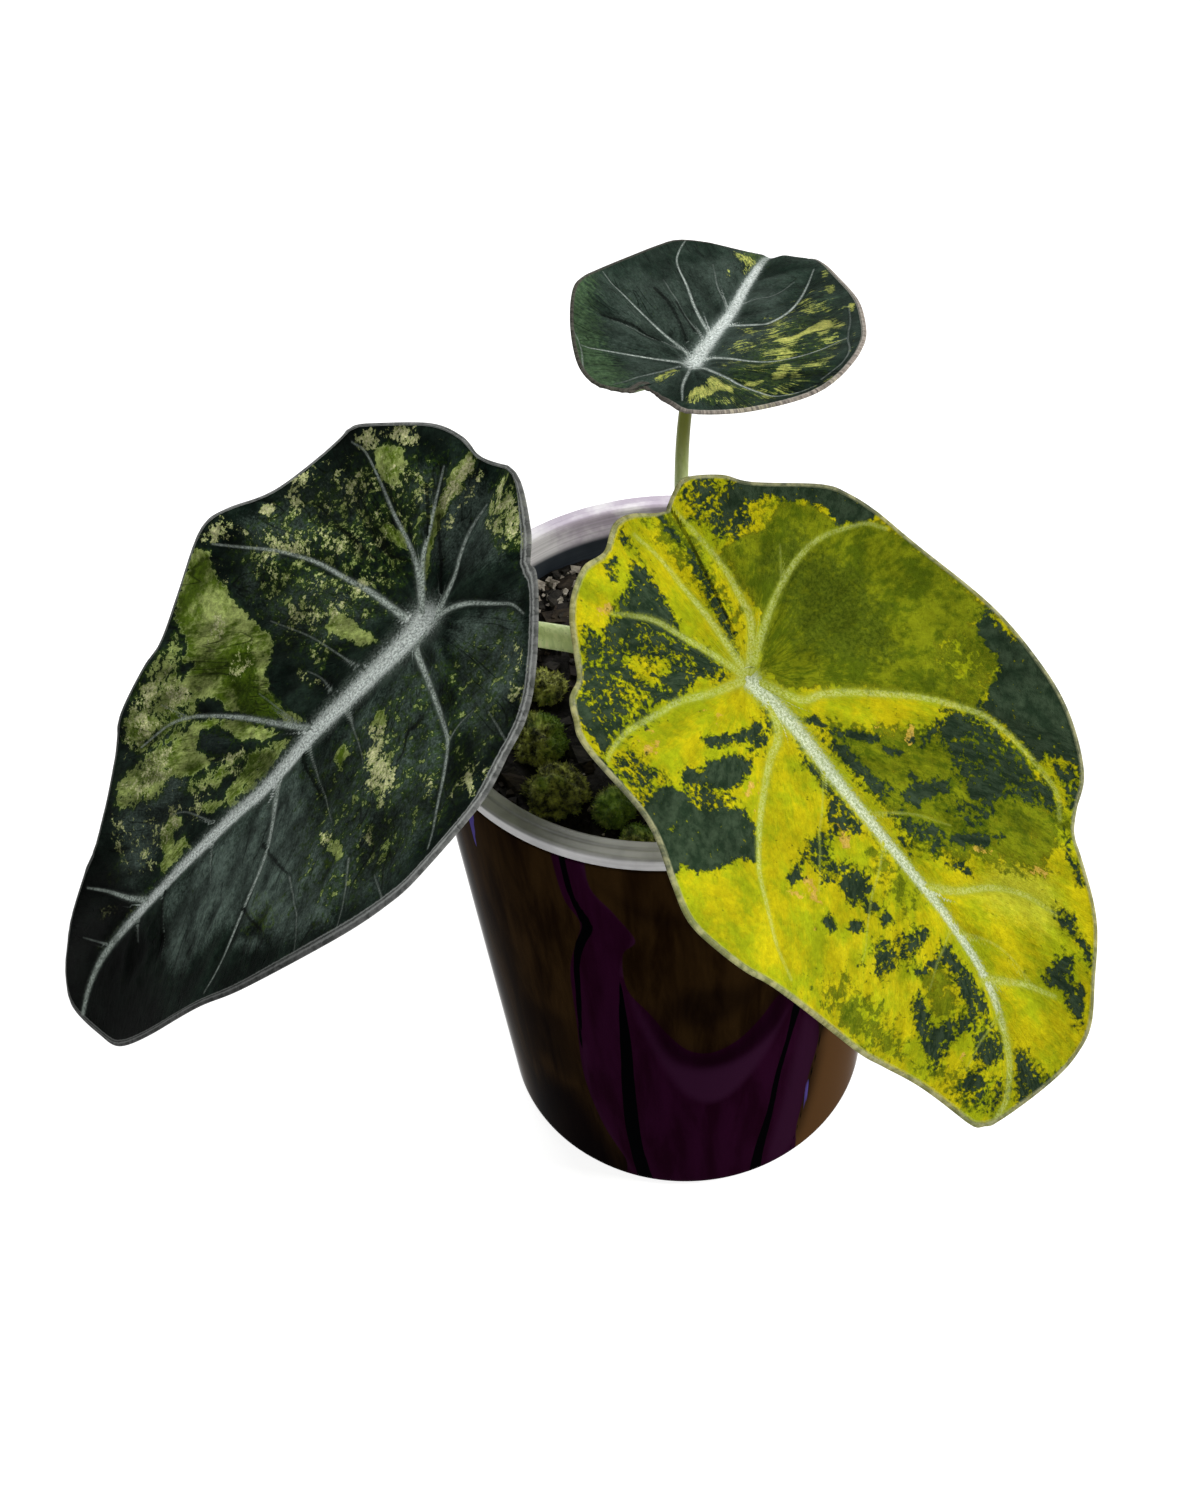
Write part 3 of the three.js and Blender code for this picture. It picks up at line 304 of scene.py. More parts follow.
RIGHT_TISSUE = [
    ("lime", 1, 1.5, [(-22, 11), (-21.5, 16), (-20, 21), (-24, 22), (-24, 25), (-19, 30.5), (-12, 33),
        (-9, 38.5), (0, 41.5), (20, 44), (21, 40), (28, 39), (31, 34), (32, 28.5), (28, 27), (20, 20),
        (14, 14), (10, 9), (6, 4), (0, 3), (-4, 7), (-8, 10), (-14, 10.5)]),
    ("deep", 0.5, 5, [(-20, 13), (-7, 12), (1, 6), (9, 11), (17, 19), (19, 27), (10, 31), (-1, 34),
        (-10, 30), (-20, 28)]),
    ("deep", 0.2, 3, [(19, 20), (30, 28), (26, 29), (19, 28)]),
    ("ground", 0.25, 2, [(17, 33), (20, 38), (28, 38), (31, 31), (26, 29), (19, 29)]),
    ("ground", 0.6, 1.2, [(-24.5, 21.5), (-21, 20), (-20.5, 24), (-22, 26.5), (-25, 24)]),
    ("ground", -0.1, 2, [(-7.5, 16), (-5, 15), (-4, 19), (-6.5, 21)]),
    ("lime", 0.5, 2.5, [(14, 3), (24, 2), (44, 2), (56, 15), (60, 20), (56, 30), (44, 32), (30, 28),
        (29, 22), (22, 12)]),
    ("deep", 0, 3, [(45, 17), (56, 18), (58, 26), (50, 28), (44, 24)]),
    ("lime", 0.3, 2, [(61, -5), (73, -5.5), (73, -11.5), (62, -11.5)]),
    ("lime", 0.6, 1.5, [(55, -28), (61, -25.5), (67, -28), (60, -31)]),
    ("lime", 0, 3, [(35, -2), (50, -2), (54, -8), (44, -9), (36, -7)]),
    ("lime", 0.2, 3, [(-34, 2), (-20, 3.5), (-8, 3.5), (-8, 7), (-24, 9.5), (-34, 9)]),
    ("lime", 0, 3, [(85, -4), (92, -4), (94, -10), (84, -16), (78, -20), (80, -14)]),
    ("lime", 0, 4, [(52, -24), (70, -18), (78, -19), (72, -27), (58, -32), (48, -34)]),
    ("light", 0.15, 2.5, [(-29, -12), (-24.5, -14), (-22, -20), (-25, -22), (-30, -17)]),
    ("light", -0.1, 3, [(-4, -9), (4, -8), (4, -14), (-3, -16)]),
    ("light", 0.05, 2.5, [(-4.5, -22), (1, -24), (2, -31), (-5, -32)]),
    ("light", 0.2, 2, [(12.5, -14), (17, -16), (19, -20), (13, -22)]),
    ("light", 0.15, 2, [(26, -4), (33, -6), (38, -9), (31, -11), (27, -7)]),
    ("light", -0.15, 3, [(31, -18), (40, -17), (42, -26), (33, -27)]),
    ("light", -0.12, 3, [(13, 5), (20, 8), (30, 14), (29, 24), (22, 17)]),
    ("light", -0.05, 2.5, [(46, 9), (52, 11), (60, 18), (66, 25), (58, 22), (48, 13)]),
    ("light", -0.05, 2, [(79, -8), (86, -8), (85, -13), (81, -13)]),
    ("nap", 0.9, 4, [(54, 6), (60, 8), (68, 14), (69, 19), (60, 22), (54, 16)]),
    ("nap", -0.6, 6, [(50, -4), (75, -6), (66, -24), (48, -30), (34, -40), (26, -34), (44, -16)]),
    ("dark", 1, 1, [(-9, 41), (-9, 37), (-12, 32.5), (-16, 32), (-19, 30.5), (-21, 28), (-24.5, 25),
        (-25, 21.5), (-28, 20), (-33, 22), (-26, 30), (-18, 39)]),
    ("dark", 0.5, 1.5, [(-28, 22), (-22, 19.5), (-21.5, 14), (-25, 13), (-31, 16), (-32, 21)]),
    ("dark", 0.05, 1.5, [(-37, 10), (-30, 10.5), (-22, 11.5), (-22, 15), (-30, 20), (-36, 18)]),
    ("dark", 1, 1, [(20, 42.5), (20.5, 40), (23, 39), (28, 38.5), (30, 35.5), (31.5, 28.5), (34, 30.5),
        (38, 31.5), (45, 32), (45, 34), (48, 36.5), (52, 38), (44, 43), (32, 46), (26, 43.5)]),
    ("dark", 0.1, 1.2, [(18.5, 45), (19.5, 41), (24, 40), (26, 45)]),
    ("dark", 0.1, 1.2, [(45, 34), (53, 31), (57, 31), (52, 38), (48, 37)]),
    ("dark", 0.8, 1.5, [(29, 25.5), (31, 27), (33, 25), (35.5, 22), (31, 20), (30, 16.5), (28, 15.5),
        (28.5, 21)]),
    ("dark", 0.8, 1.5, [(36, 20), (36, 29.5), (38.5, 29.8), (39, 25), (38.5, 20)]),
    ("dark", 0.92, 1.5, [(40, 17.5), (40.5, 24), (43, 26), (46, 25), (46, 19), (43, 17)]),
    ("dark", 0.32, 1.5, [(29, 19), (29.5, 28), (36, 30.5), (50, 31), (53, 28), (46, 23), (40, 17),
        (33, 19)]),
    ("dark", 0.6, 1.2, [(46, 28), (52.5, 28), (53, 31), (46, 31.5)]),
    ("dark", 0.05, 1.2, [(41, 12), (47, 13), (48, 20), (42, 18)]),
    ("dark", 0.92, 1, [(45, 9.5), (46.5, 13), (49, 16), (51.3, 17.8), (50.5, 14), (48.5, 11), (47, 9)]),
    ("dark", 0.92, 1.2, [(38, 16.5), (39.5, 14), (38.5, 11), (37, 9.5), (38.5, 7.5), (36, 6), (34, 7),
        (34, 10), (35, 12), (36, 15)]),
    ("dark", 0.8, 0.8, [(31.8, 12), (34, 11.8), (34, 10), (32, 10)]),
    ("dark", 0.15, 1.2, [(35, 2), (41, 2), (44, 4), (46.5, 3), (47, 8), (42, 9.5), (39, 6), (35, 6)]),
    ("dark", 0.92, 0.8, [(11.8, 1.6), (13, 4), (16.5, 4.6), (20, 8), (24.5, 12.3), (24.5, 10), (21, 6.6),
        (18, 4)]),
    ("dark", 0.92, 0.8, [(24.8, 9), (26, 11.2), (29.3, 13.3), (29, 11.5), (26.5, 9.6)]),
    ("dark", 0.2, 1.2, [(16, 1.5), (20, 5.5), (25, 6), (33, 7), (33, 2), (25, 1.2)]),
    ("dark", 0.3, 0.8, [(47.5, 5), (50, 5.5), (53, 8), (53, 10.3), (50.5, 9), (48, 7)]),
    ("dark", 0.1, 0.9, [(39, 0.3), (43.5, 0.8), (43.5, 2.6), (39.5, 2.2)]),
    ("dark", 0.25, 1, [(13, -1.6), (24, -2.4), (34, -3.2), (35, -5.5), (32.5, -8), (31.5, -11), (34, -13),
        (38, -10), (38, -15.5), (36.5, -18.5), (31.5, -17), (31, -20), (33, -21), (32, -24), (30.5, -24),
        (29.5, -19), (28, -14.5), (29.5, -9), (27, -8), (26, -5), (18, -5)]),
    ("dark", 0.8, 1.2, [(37.5, -10.5), (40, -9.2), (43.5, -9.5), (44.5, -13), (43, -15), (38, -15.5)]),
    ("dark", 0.75, 0.8, [(30, -20.5), (33, -20.5), (32.2, -24), (30.5, -24)]),
    ("dark", 0.6, 0.8, [(44.5, -10.5), (47.3, -10.8), (47, -13.7), (44.5, -13.5)]),
    ("dark", 0.75, 0.8, [(45, -17.5), (46.8, -14.8), (48.7, -16), (47.2, -18.7), (45.5, -19)]),
    ("dark", 0.8, 0.8, [(40.5, -20.2), (44.3, -20.2), (44.5, -23), (41, -23)]),
    ("dark", 0.6, 0.8, [(47.5, -9.5), (50.5, -9.8), (51, -13), (48.5, -12.5)]),
    ("dark", 0.8, 0.8, [(52, -19.5), (54, -20), (53, -21.3)]),
    ("dark", 0.3, 1.2, [(51.5, -13.5), (56, -12), (58.5, -14), (58.5, -18.7), (54, -18.7), (51, -16)]),
    ("dark", 0.35, 1, [(53.5, -9.5), (55, -5), (57.5, -5.2), (58.5, -9), (60, -12), (57, -13),
        (54, -12)]),
    ("dark", 0.4, 1, [(58.5, -3.5), (62, -2.2), (70, -0.3), (80, -1.5), (80.5, -6.5), (78, -6),
        (72, -5.5), (64, -5.3), (62.5, -11.5), (60.5, -11.5), (60.5, -6)]),
    ("ground", 0.6, 1, [(74.5, -1.8), (79, -2), (79, -4.6), (75, -4.3)]),
    ("dark", 0.4, 1, [(64.5, -12), (72, -12), (74, -5), (77, -5.5), (78, -10), (80, -12), (82, -14.8),
        (78, -16), (70, -15.8), (65.5, -15)]),
    ("dark", 0.5, 1.2, [(79, 0), (85, -0.5), (85, -5.5), (81.5, -7.3), (79.3, -5)]),
    ("dark", 0.15, 1.2, [(83.5, -5.5), (90, -5), (93, -8), (88, -12), (85, -11)]),
    ("dark", -0.1, 1.5, [(87, 0), (93, -2), (96, -6), (92, -8), (88, -5)]),
    ("dark", 0.6, 1.2, [(83.5, 1.5), (86, 4.2), (89, 4.2), (91, 8), (93, 3), (94, -1.5), (89, 0)]),
    ("dark", 0.2, 1, [(88.5, 5), (90, 8), (85, 15), (88, 14), (93, 5)]),
    ("dark", 0.8, 1, [(71.5, 17), (73.5, 18.3), (75.5, 15.5), (78, 17.5), (82.5, 15.5), (84, 13.5),
        (78, 13.5), (75, 11.3), (73, 12), (72.5, 14)]),
    ("dark", 0.15, 0.9, [(64, 19.6), (67, 21.3), (74, 21.5), (78, 19), (73, 19.3), (66, 17.5)]),
    ("dark", 0.4, 0.8, [(55, 29), (58, 28.3), (64.5, 25.8), (63.5, 24.4), (58, 26.6)]),
    ("dark", 0.8, 1, [(-27.5, -3), (-20, -4.3), (-15, -5), (-15, -10), (-19, -11), (-20, -18.5),
        (-23, -19), (-23, -13), (-26, -9.5), (-27, -6)]),
    ("dark", 0.25, 1.2, [(-31, -2.5), (-20, -4), (-13, -5), (-8, -2.5), (-3.5, -2), (-2, -4), (-5.5, -10),
        (-5.5, -13), (-4.5, -16), (-5.5, -19), (-4.6, -22), (-5.5, -33), (-4, -37.5), (-12, -35.5),
        (-17, -30.5), (-25.5, -22), (-22.5, -20), (-24, -15)]),
    ("dark", 0.8, 1.2, [(-10, -10), (-6, -9), (-5.2, -12), (-4.6, -16), (-6.5, -18), (-9.5, -15)]),
    ("dark", 0.8, 1.2, [(-11.5, -25.5), (-8, -25), (-7, -29), (-10.5, -30)]),
    ("dark", 0.8, 0.9, [(-6.3, -20), (-5, -20.5), (-4.6, -25), (-6, -26)]),
    ("dark", 0.92, 1.2, [(-16, -31.5), (-12, -31), (-6.5, -33), (-4.5, -37), (-11, -36.5), (-15.5, -34)]),
    ("dark", 0, 1, [(-36, -2.5), (-31, -2), (-31, -5), (-35, -5)]),
    ("dark", 0.2, 0.9, [(-32.5, -7), (-30.5, -7.5), (-27.5, -10.5), (-28.5, -12), (-32, -10.5)]),
    ("ground", 0.8, 1, [(-15.5, -16.5), (-16, -19), (-12, -18.8), (-9, -17), (-10.3, -13), (-12, -11.8),
        (-13.5, -14)]),
    ("ground", 0.4, 1, [(-8.5, -19.5), (-6.3, -19.5), (-6.5, -27), (-10, -24.5), (-13.5, -22)]),
    ("dark", 0.8, 0.9, [(7, -4.5), (9, -6), (9, -10), (6.5, -14.5), (5, -17.8), (2.6, -17.3), (3, -15.3),
        (5.5, -12), (6.5, -8)]),
    ("dark", 0.15, 1, [(4.5, -1.6), (10, -3.2), (11.8, -8), (11, -12.5), (8.5, -11.5), (8, -5)]),
    ("dark", 1, 0.9, [(9.3, -14), (11.5, -12.5), (13, -15), (13, -19), (11.5, -22.3), (9, -24.3),
        (7, -27.5), (4.8, -26.5), (4.8, -24), (6.5, -22.5), (6.5, -18.5), (8, -15.5)]),
    ("dark", 1, 0.9, [(14.5, -23), (16.5, -21), (19.5, -21.3), (22.5, -23), (25.2, -26.6), (22, -29),
        (20.5, -36), (18.5, -39), (16, -40.5), (16.5, -46), (7, -43), (4.5, -37), (4, -32), (6, -29.5),
        (11, -28)]),
    ("dark", -0.02, 1.2, [(9, -22), (15, -20.5), (15, -27), (8, -30), (5, -28)]),
    ("dark", -0.1, 1.5, [(-5, -29), (5, -29), (5, -39), (-4, -38)]),
    ("dark", 0.4, 0.7, [(-5, -37.3), (7, -38.6), (7, -42), (-6, -39.6)]),
    ("dark", 0.4, 0.8, [(-35, 6), (-30, 7), (-24, 7.4), (-18, 6.6), (-12, 4.9), (-4.5, 2.3), (-4.5, 0.8),
        (-11, 2.4), (-19, 4.5), (-25, 5.5), (-31, 5.2)]),
]
BACK_TISSUE = [
    ("light", 0.4, 1, [(-19, -4.5), (-16, -3.3), (-12, -3), (-8, -4.3), (-4, -4.5), (-4, -6.2),
        (-6.5, -8.5), (-8, -10.5), (-11, -12), (-10.5, -8.5), (-15, -7.5), (-19, -6.3)]),
    ("light", 0.35, 0.8, [(-6.5, -10.3), (-4, -11), (-3, -15.2), (-5.5, -15.5)]),
    ("light", 0.35, 0.8, [(-4, -16), (-1, -15), (2, -16), (3.7, -18), (1, -19.2), (-3, -18.3)]),
    ("light", 0.5, 0.8, [(11.5, -11), (14, -12), (15.5, -14.5), (20, -16.3), (27, -18), (25, -20.3),
        (21.5, -21.5), (17.5, -18.5), (13.5, -16), (12, -14)]),
    ("light", 0, 1, [(13, -18.5), (18, -18.5), (23, -21.5), (18, -22), (13, -20)]),
    ("light", 0.15, 0.9, [(4, -28.6), (10, -28.8), (17, -27.5), (23.5, -25.5), (22, -24.8), (13, -26.8)]),
    ("light", 0.05, 1.2, [(-8, -21), (-6, -22), (-3, -27), (0, -29), (-4, -30), (-9, -26)]),
    ("light", 0, 1.5, [(-22, -8), (-19, -10), (-13, -17), (-9, -23), (-10, -26), (-16, -20), (-22, -12)]),
    ("light", 0, 1.2, [(40.5, 2.5), (45, 5), (50, 8.5), (53, 5), (50, 1.8), (44, 1.5)]),
    ("light", -0.12, 1.2, [(34, 5), (40, 6.5), (42, 5), (36, 4)]),
    ("light", 0.02, 1, [(37, -17.5), (38, -14.5), (43, -13.5), (43.5, -16), (40, -18)]),
    ("light", -0.1, 1, [(29, -11), (34, -11), (35, -13.5), (31, -13)]),
    ("light", 0, 0.8, [(28, -24.5), (34, -22.5), (34, -21), (29, -22.5)]),
    ("light", -0.05, 1, [(46, -12), (53, -11), (52, -14), (46, -14.5)]),
    ("light", 0, 0.8, [(-13.5, 4.8), (-8, 4.4), (-4, 2.5), (-4, 1), (-8, 2), (-13, 3.6)]),
    ("light", -0.2, 2, [(4, -9), (10, -12), (13, -20), (6, -19)]),
    ("light", -0.2, 2, [(-18, -8), (-8, -12), (-4, -20), (-8, -24), (-16, -14)]),
    ("light", -0.3, 3, [(-20, -4), (16, -3), (30, -8), (50, -12), (20, -27), (0, -28), (-16, -16)]),
    ("lime", -0.4, 3, [(-20, -3), (4, -6), (28, -12), (28, -22), (0, -28), (-16, -16)]),
    ("lime", 0, 2.5, [(44, 1), (54, 9), (56, 2), (50, 0)]),
    ("nap", -0.1, 6, [(-20, 6), (-4, 22), (14, 25), (34, 18), (50, 6), (40, -10), (20, -16), (0, -14)]),
    ("deep", 0.35, 6, [(-32, 2), (-30, 26), (-8, 36), (14, 38), (20, 26), (4, 19), (-6, 13), (-12, 6)]),
    ("deep", -0.1, 5, [(20, -10), (40, -11), (52, -8), (40, -21), (22, -25), (24, -16)]),
]


def seeded(seed):
    return np.random.default_rng(seed)


def smooth(t):
    s = np.clip(t, 0, 1)
    return s * s * (3 - 2 * s)


def bell(distance, width):
    return np.exp(-((distance / width) ** 2))


def unit(rows):
    return rows / np.linalg.norm(rows, axis=1)[:, None]


def lumps(x, y, size, seed):
    """Smooth random relief from -1 to 1 with lumps of the given size"""
    table = seeded(seed).uniform(-1, 1, (LUMP_TABLE, LUMP_TABLE))
    gx, gy = x / size, y / size
    ix, iy = np.floor(gx).astype(int), np.floor(gy).astype(int)
    fx, fy = smooth(gx - ix), smooth(gy - iy)

    def row(at):
        here, beside = (table[(ix + i) % LUMP_TABLE, at % LUMP_TABLE] for i in (0, 1))
        return here * (1 - fx) + beside * fx

    return row(iy) * (1 - fy) + row(iy + 1) * fy


# Curves and areas in the blade's plane
def catmull_rom(p0, p1, p2, p3, t):
    m1, m2 = 0.5 * (p2 - p0), 0.5 * (p3 - p1)
    return p1 + m1 * t + (3 * (p2 - p1) - 2 * m1 - m2) * t**2 + (2 * (p1 - p2) + m1 + m2) * t**3


def closed_curve(points, per_point):
    """Smooth curve through a closed list of points"""
    p = np.array(points, float)
    t = np.arange(per_point)[None, :, None] / per_point
    around = (np.roll(p, s, axis=0)[:, None] for s in (1, 0, -1, -2))
    return catmull_rom(*around, t).reshape(-1, 2)


def even_margin(outline, per_point):
    """The closed outline with points evenly spaced along it, and how far round it each point is"""
    curve = closed_curve(outline, per_point)
    count = len(curve)
    steps = np.arange(count + 1)
    ring = np.vstack([curve, curve[:1]])
    length = np.append(0, np.cumsum(np.linalg.norm(np.diff(ring, axis=0), axis=1)))
    turn = np.interp(steps[:-1] / count * length[-1], length, steps / count)
    return np.stack([np.interp(turn * count, steps, ring[:, i]) for i in (0, 1)], -1), turn


def open_curve(points, step):
    """Smooth line through points, as points about one step apart"""
    p = np.array(points, float)
    ext = np.vstack([2 * p[0] - p[1], p, 2 * p[-1] - p[-2]])
    made = []
    for p0, p1, p2, p3 in zip(ext, ext[1:], ext[2:], ext[3:]):
        n = max(2, int(np.linalg.norm(p2 - p1) / step))
        made.append(catmull_rom(p0, p1, p2, p3, np.arange(n)[:, None] / n))
    return np.vstack([*made, p[-1:]])


def segment_distance(u, v, a, b):
    """Distance to a straight segment, and how far along it the nearest point lies"""
    du, dv = b[0] - a[0], b[1] - a[1]
    t = np.clip(((u - a[0]) * du + (v - a[1]) * dv) / (du * du + dv * dv), 0, 1)
    return np.hypot(u - a[0] - t * du, v - a[1] - t * dv), t


def line_distance(u, v, line):
    return np.min([segment_distance(u, v, a, b)[0] for a, b in zip(line, line[1:])], axis=0)


def nearest(u, v, lines):
    return np.min([line_distance(u, v, line) for line in lines], axis=0)


def inside_distance(u, v, polygon):
    """Distance to a polygon's edge, positive inside it"""
    d = line_distance(u, v, [*polygon, polygon[0]])
    inside = np.zeros(u.shape, bool)
    for (x1, y1), (x2, y2) in zip(polygon, [*polygon[1:], polygon[0]]):
        if y1 != y2:
            crossing = (v < max(y1, y2)) & (v >= min(y1, y2))
            inside ^= crossing & (u < x1 + (v - y1) * (x2 - x1) / (y2 - y1))
    return np.where(inside, d, -d)


def box_around(u, v, points, reach):
    """Which places lie in the box round some points, widened by a reach"""
    low, high = points.min(axis=0) - reach, points.max(axis=0) + reach
    return (u > low[0]) & (u < high[0]) & (v > low[1]) & (v < high[1])


def sector_fields(sectors, kinds, u, v, reach=1.0, rounded=False):
    """How full each kind of tissue is at each point; a sector of ground clears the others"""
    fields = {kind: np.full(u.shape, EMPTY) for kind in kinds}
    for kind, level, soft, polygon in sectors:
        p = closed_curve(polygon, 5) if rounded else np.array(polygon)
        near = box_around(u, v, p, reach * soft)
        t = smooth(inside_distance(u[near], v[near], [*p]) / (2 * reach * soft) + 0.5)
        if kind == "ground":
            for field in fields.values():
                field[near] = np.minimum(field[near], field[near] * (1 - t) - level * t)
        else:
            fields[kind][near] = np.maximum(fields[kind][near], EMPTY + (level - EMPTY) * t)
    return fields


# Shape of a blade
def blade_spine(b, start=-45, stop=130):
    """Midrib as a table: one point and its side and normal directions for each millimetre"""
    def slope(u):
        fall = b["slope"][0] + np.where(u >= 0, b["slope"][1], b["slope"][2]) * u / 100
        if "curl" in b:
            curl_start, curl_rate = b["curl"]
            fall = fall + np.maximum(u - curl_start, 0) * curl_rate
        return np.radians(fall)

    def heading(u):
        w = np.maximum(u, -10) / 100
        return np.radians(b["heading"][0] + b["heading"][1] * w + b["heading"][2] * w * w)

    def direction(u):
        s, h = slope(u), heading(u)
        return np.stack([np.cos(s) * np.cos(h), np.cos(s) * np.sin(h), -np.sin(s)], -1)

    us = np.arange(start, stop + 1.0)
    points = np.vstack([np.zeros(3), np.cumsum(direction(us[:-1] + 0.5), axis=0)])
    points += np.array(b["joint"]) - points[-start]
    h = heading(us)
    level = np.stack([-np.sin(h), np.cos(h), 0 * h], -1)
    up = np.cross(direction(us), level)
    roll = np.radians(b["roll"][0] + b["roll"][1] * us / 100)[:, None]
    side = np.cos(roll) * level + np.sin(roll) * up
    normal = np.cos(roll) * up - np.sin(roll) * level
    return us, np.hstack([points, side, normal])


def blade_sheet(b, spine, u, v):
    """Points of the bent sheet that the relief stands on"""
    us, table = spine
    at = np.stack([np.interp(u, us, column) for column in table.T], -1)
    reach = np.sin(v / b["cup"]) * b["cup"]
    rise = (1 - np.cos(v / b["cup"])) * b["cup"]
    return at[:, 0:3] + reach[:, None] * at[:, 3:6] + rise[:, None] * at[:, 6:9]


def blade_normal(b, spine, u, v):
    e = 0.5
    ahead = blade_sheet(b, spine, u + e, v) - blade_sheet(b, spine, u - e, v)
    across = blade_sheet(b, spine, u, v + e) - blade_sheet(b, spine, u, v - e)
    return unit(np.cross(ahead, across))


def along_veins(u, v):
    """Coordinates that follow the side veins: along them, across them, and which side of the midrib"""
    base = np.maximum(0, u - np.abs(v) / math.tan(VEIN_LEAN))
    turn = np.arctan2(np.abs(v), u - base)
    along = np.hypot(u - base, v)
    across = (turn - VEIN_LEAN) * 20 - base * math.sin(VEIN_LEAN)
    return along, across, 10 * np.tanh(v / 4)


def blade_puffs(u, v):
    """The blade's swellings between the side veins, in mm; the offsets only choose a place in the
    random tables"""
    out, across, _ = along_veins(u, v)
    puffs = 0.6 * lumps(out + 80, across + 90, 7, 3) * lumps(across + 90, v + 80, 5, 5)
    return puffs + 0.3 * lumps(out / 2.5 + 80, across + 90, 2.4, 4) + 0.12 * lumps(u + 90, v + 90, 2.2, 6)


def blade_relief(b, u, v, share, turn):
    """Height over the bent sheet, as in the CAD, with minor veins, puffs and a lift added"""
    end, depth, width = b["sinus"]
    d, along = segment_distance(u, v, (0, 0), end)
    valley = depth * bell(d, width) * np.minimum(along * 1.6, 1) ** 1.5
    dip = b["dip"][0] * np.exp(-(u * u + v * v) / b["dip"][1] ** 2)
    near = nearest(u, v, b["veins"])
    starts = smooth(share * 3)
    veins = VEIN_DEPTH * bell(near, VEIN_WIDTH) * (starts * (1 - smooth((share - 0.85) / 0.15)))
    middle = line_distance(u, v, b["midrib"])
    rib = VEIN_DEPTH * bell(middle, MIDRIB_WIDTH) * (1 - smooth((share - 0.8) / 0.2))
    height, count, phase = b["wave"]
    wave = height * np.sin(2 * np.pi * count * turn + phase) * share**3
    fine = nearest(u, v, b["minor"])
    minor = MINOR_DEPTH * bell(fine, MINOR_WIDTH) * starts * (1 - smooth((share - 0.9) / 0.1))
    apart = smooth(np.minimum(near, middle) / PUFFS_APART) * starts * (1 - smooth((share - 0.8) / 0.2))
    if "lift" in b:
        height, at_u, at_v, width = b["lift"]
        wave = wave + height * np.exp(-(((u - at_u) ** 2 + (v - at_v) ** 2) / width**2))
    return wave - valley - dip - np.maximum(veins, rib) - minor + blade_puffs(u, v) * apart


def vein_fields(b, u, v, widths):
    """Way to the nearest vein or fold in half-widths of it, how strong it is (a fold below zero), and
    the distance. The way passes through zero between two points of the mesh, so that a thin vein
    isn't lost there. Widths are each kind's half-width at its root and at its tip."""
    way = np.zeros((len(u), 3))
    far = np.full(u.shape, VEIN_REACH)
    kinds = [
        (b["midrib"], MIDRIB_STRENGTH, *widths[0]),
        *((line, VEIN_STRENGTH, *widths[1]) for line in b["veins"]),
        *((line, MINOR_STRENGTH, *widths[2]) for line in b["minor"]),
        *((line, FOLD_STRENGTH, *FOLD_WIDTHS) for line in b["folds"]),
    ]
    for line, strength, root, tip in kinds:
        points = open_curve(line, VEIN_STEP)
        share = np.linspace(0, 1, len(points))
        half = root + (tip - root) * share**0.5
        near = np.flatnonzero(box_around(u, v, points, VEIN_REACH * root))
        for a, c, w, t0 in zip(points, points[1:], half, share):
            close = near[np.hypot(u[near] - a[0], v[near] - a[1]) < VEIN_REACH * w + VEIN_STEP]
            d, t = segment_distance(u[close], v[close], a, c)
            nearer = d / w < far[close]
            chosen, foot = close[nearer], a + t[nearer][:, None] * (c - a)
            far[chosen] = d[nearer] / w
            way[chosen, 0] = (u[chosen] - foot[:, 0]) / w
            way[chosen, 1] = (v[chosen] - foot[:, 1]) / w
            way[chosen, 2] = strength * (1 - 0.55 * t0**2)
    return way, far


# Meshes
def new_object(name, points, faces, looks=(), attributes=None, sharp=False):
    mesh = bpy.data.meshes.new(name)
    mesh.from_pydata((np.asarray(points) * MM).tolist(), [], faces)
    for key, values in (attributes or {}).items():
        values = np.asarray(values, np.float32)
        if values.ndim == 1:
            mesh.attributes.new(key, "FLOAT", "POINT").data.foreach_set("value", values)
        else:
            mesh.attributes.new(key, "FLOAT_VECTOR", "POINT").data.foreach_set("vector", values.ravel())
    for material in looks:
        mesh.materials.append(material)
    mesh.polygons.foreach_set("use_smooth", [not sharp] * len(mesh.polygons))
    made = bpy.data.objects.new(name, mesh)
    bpy.context.scene.collection.objects.link(made)
    return made


def quads(lower, upper):
    """Faces between two closed rings of vertex numbers"""
    return np.stack([lower, np.roll(lower, -1), np.roll(upper, -1), upper], -1).tolist()


def sleeve(rows, sides):
    """Faces of a tube whose rows of points follow one another"""
    ring = np.arange(sides)
    faces = []
    for k in range(rows - 1):
        faces += quads(ring + k * sides, ring + (k + 1) * sides)
    return faces


def capped(rows, sides):
    """Faces of such a tube with both ends closed"""
    return [*sleeve(rows, sides), list(range(sides))[::-1], list(range((rows - 1) * sides, rows * sides))]


def polar_grid(outline, around, shares, joint_first):
    """Shrunken copies of the outline with the joint before or after them: u, v, share and turn"""
    u = np.concatenate([outline[:, 0] * s for s in shares])
    v = np.concatenate([outline[:, 1] * s for s in shares])
    columns = (u, v, np.repeat(shares, len(outline)), np.tile(around, len(shares)))
    return [np.append(0, a) if joint_first else np.append(a, 0) for a in columns]


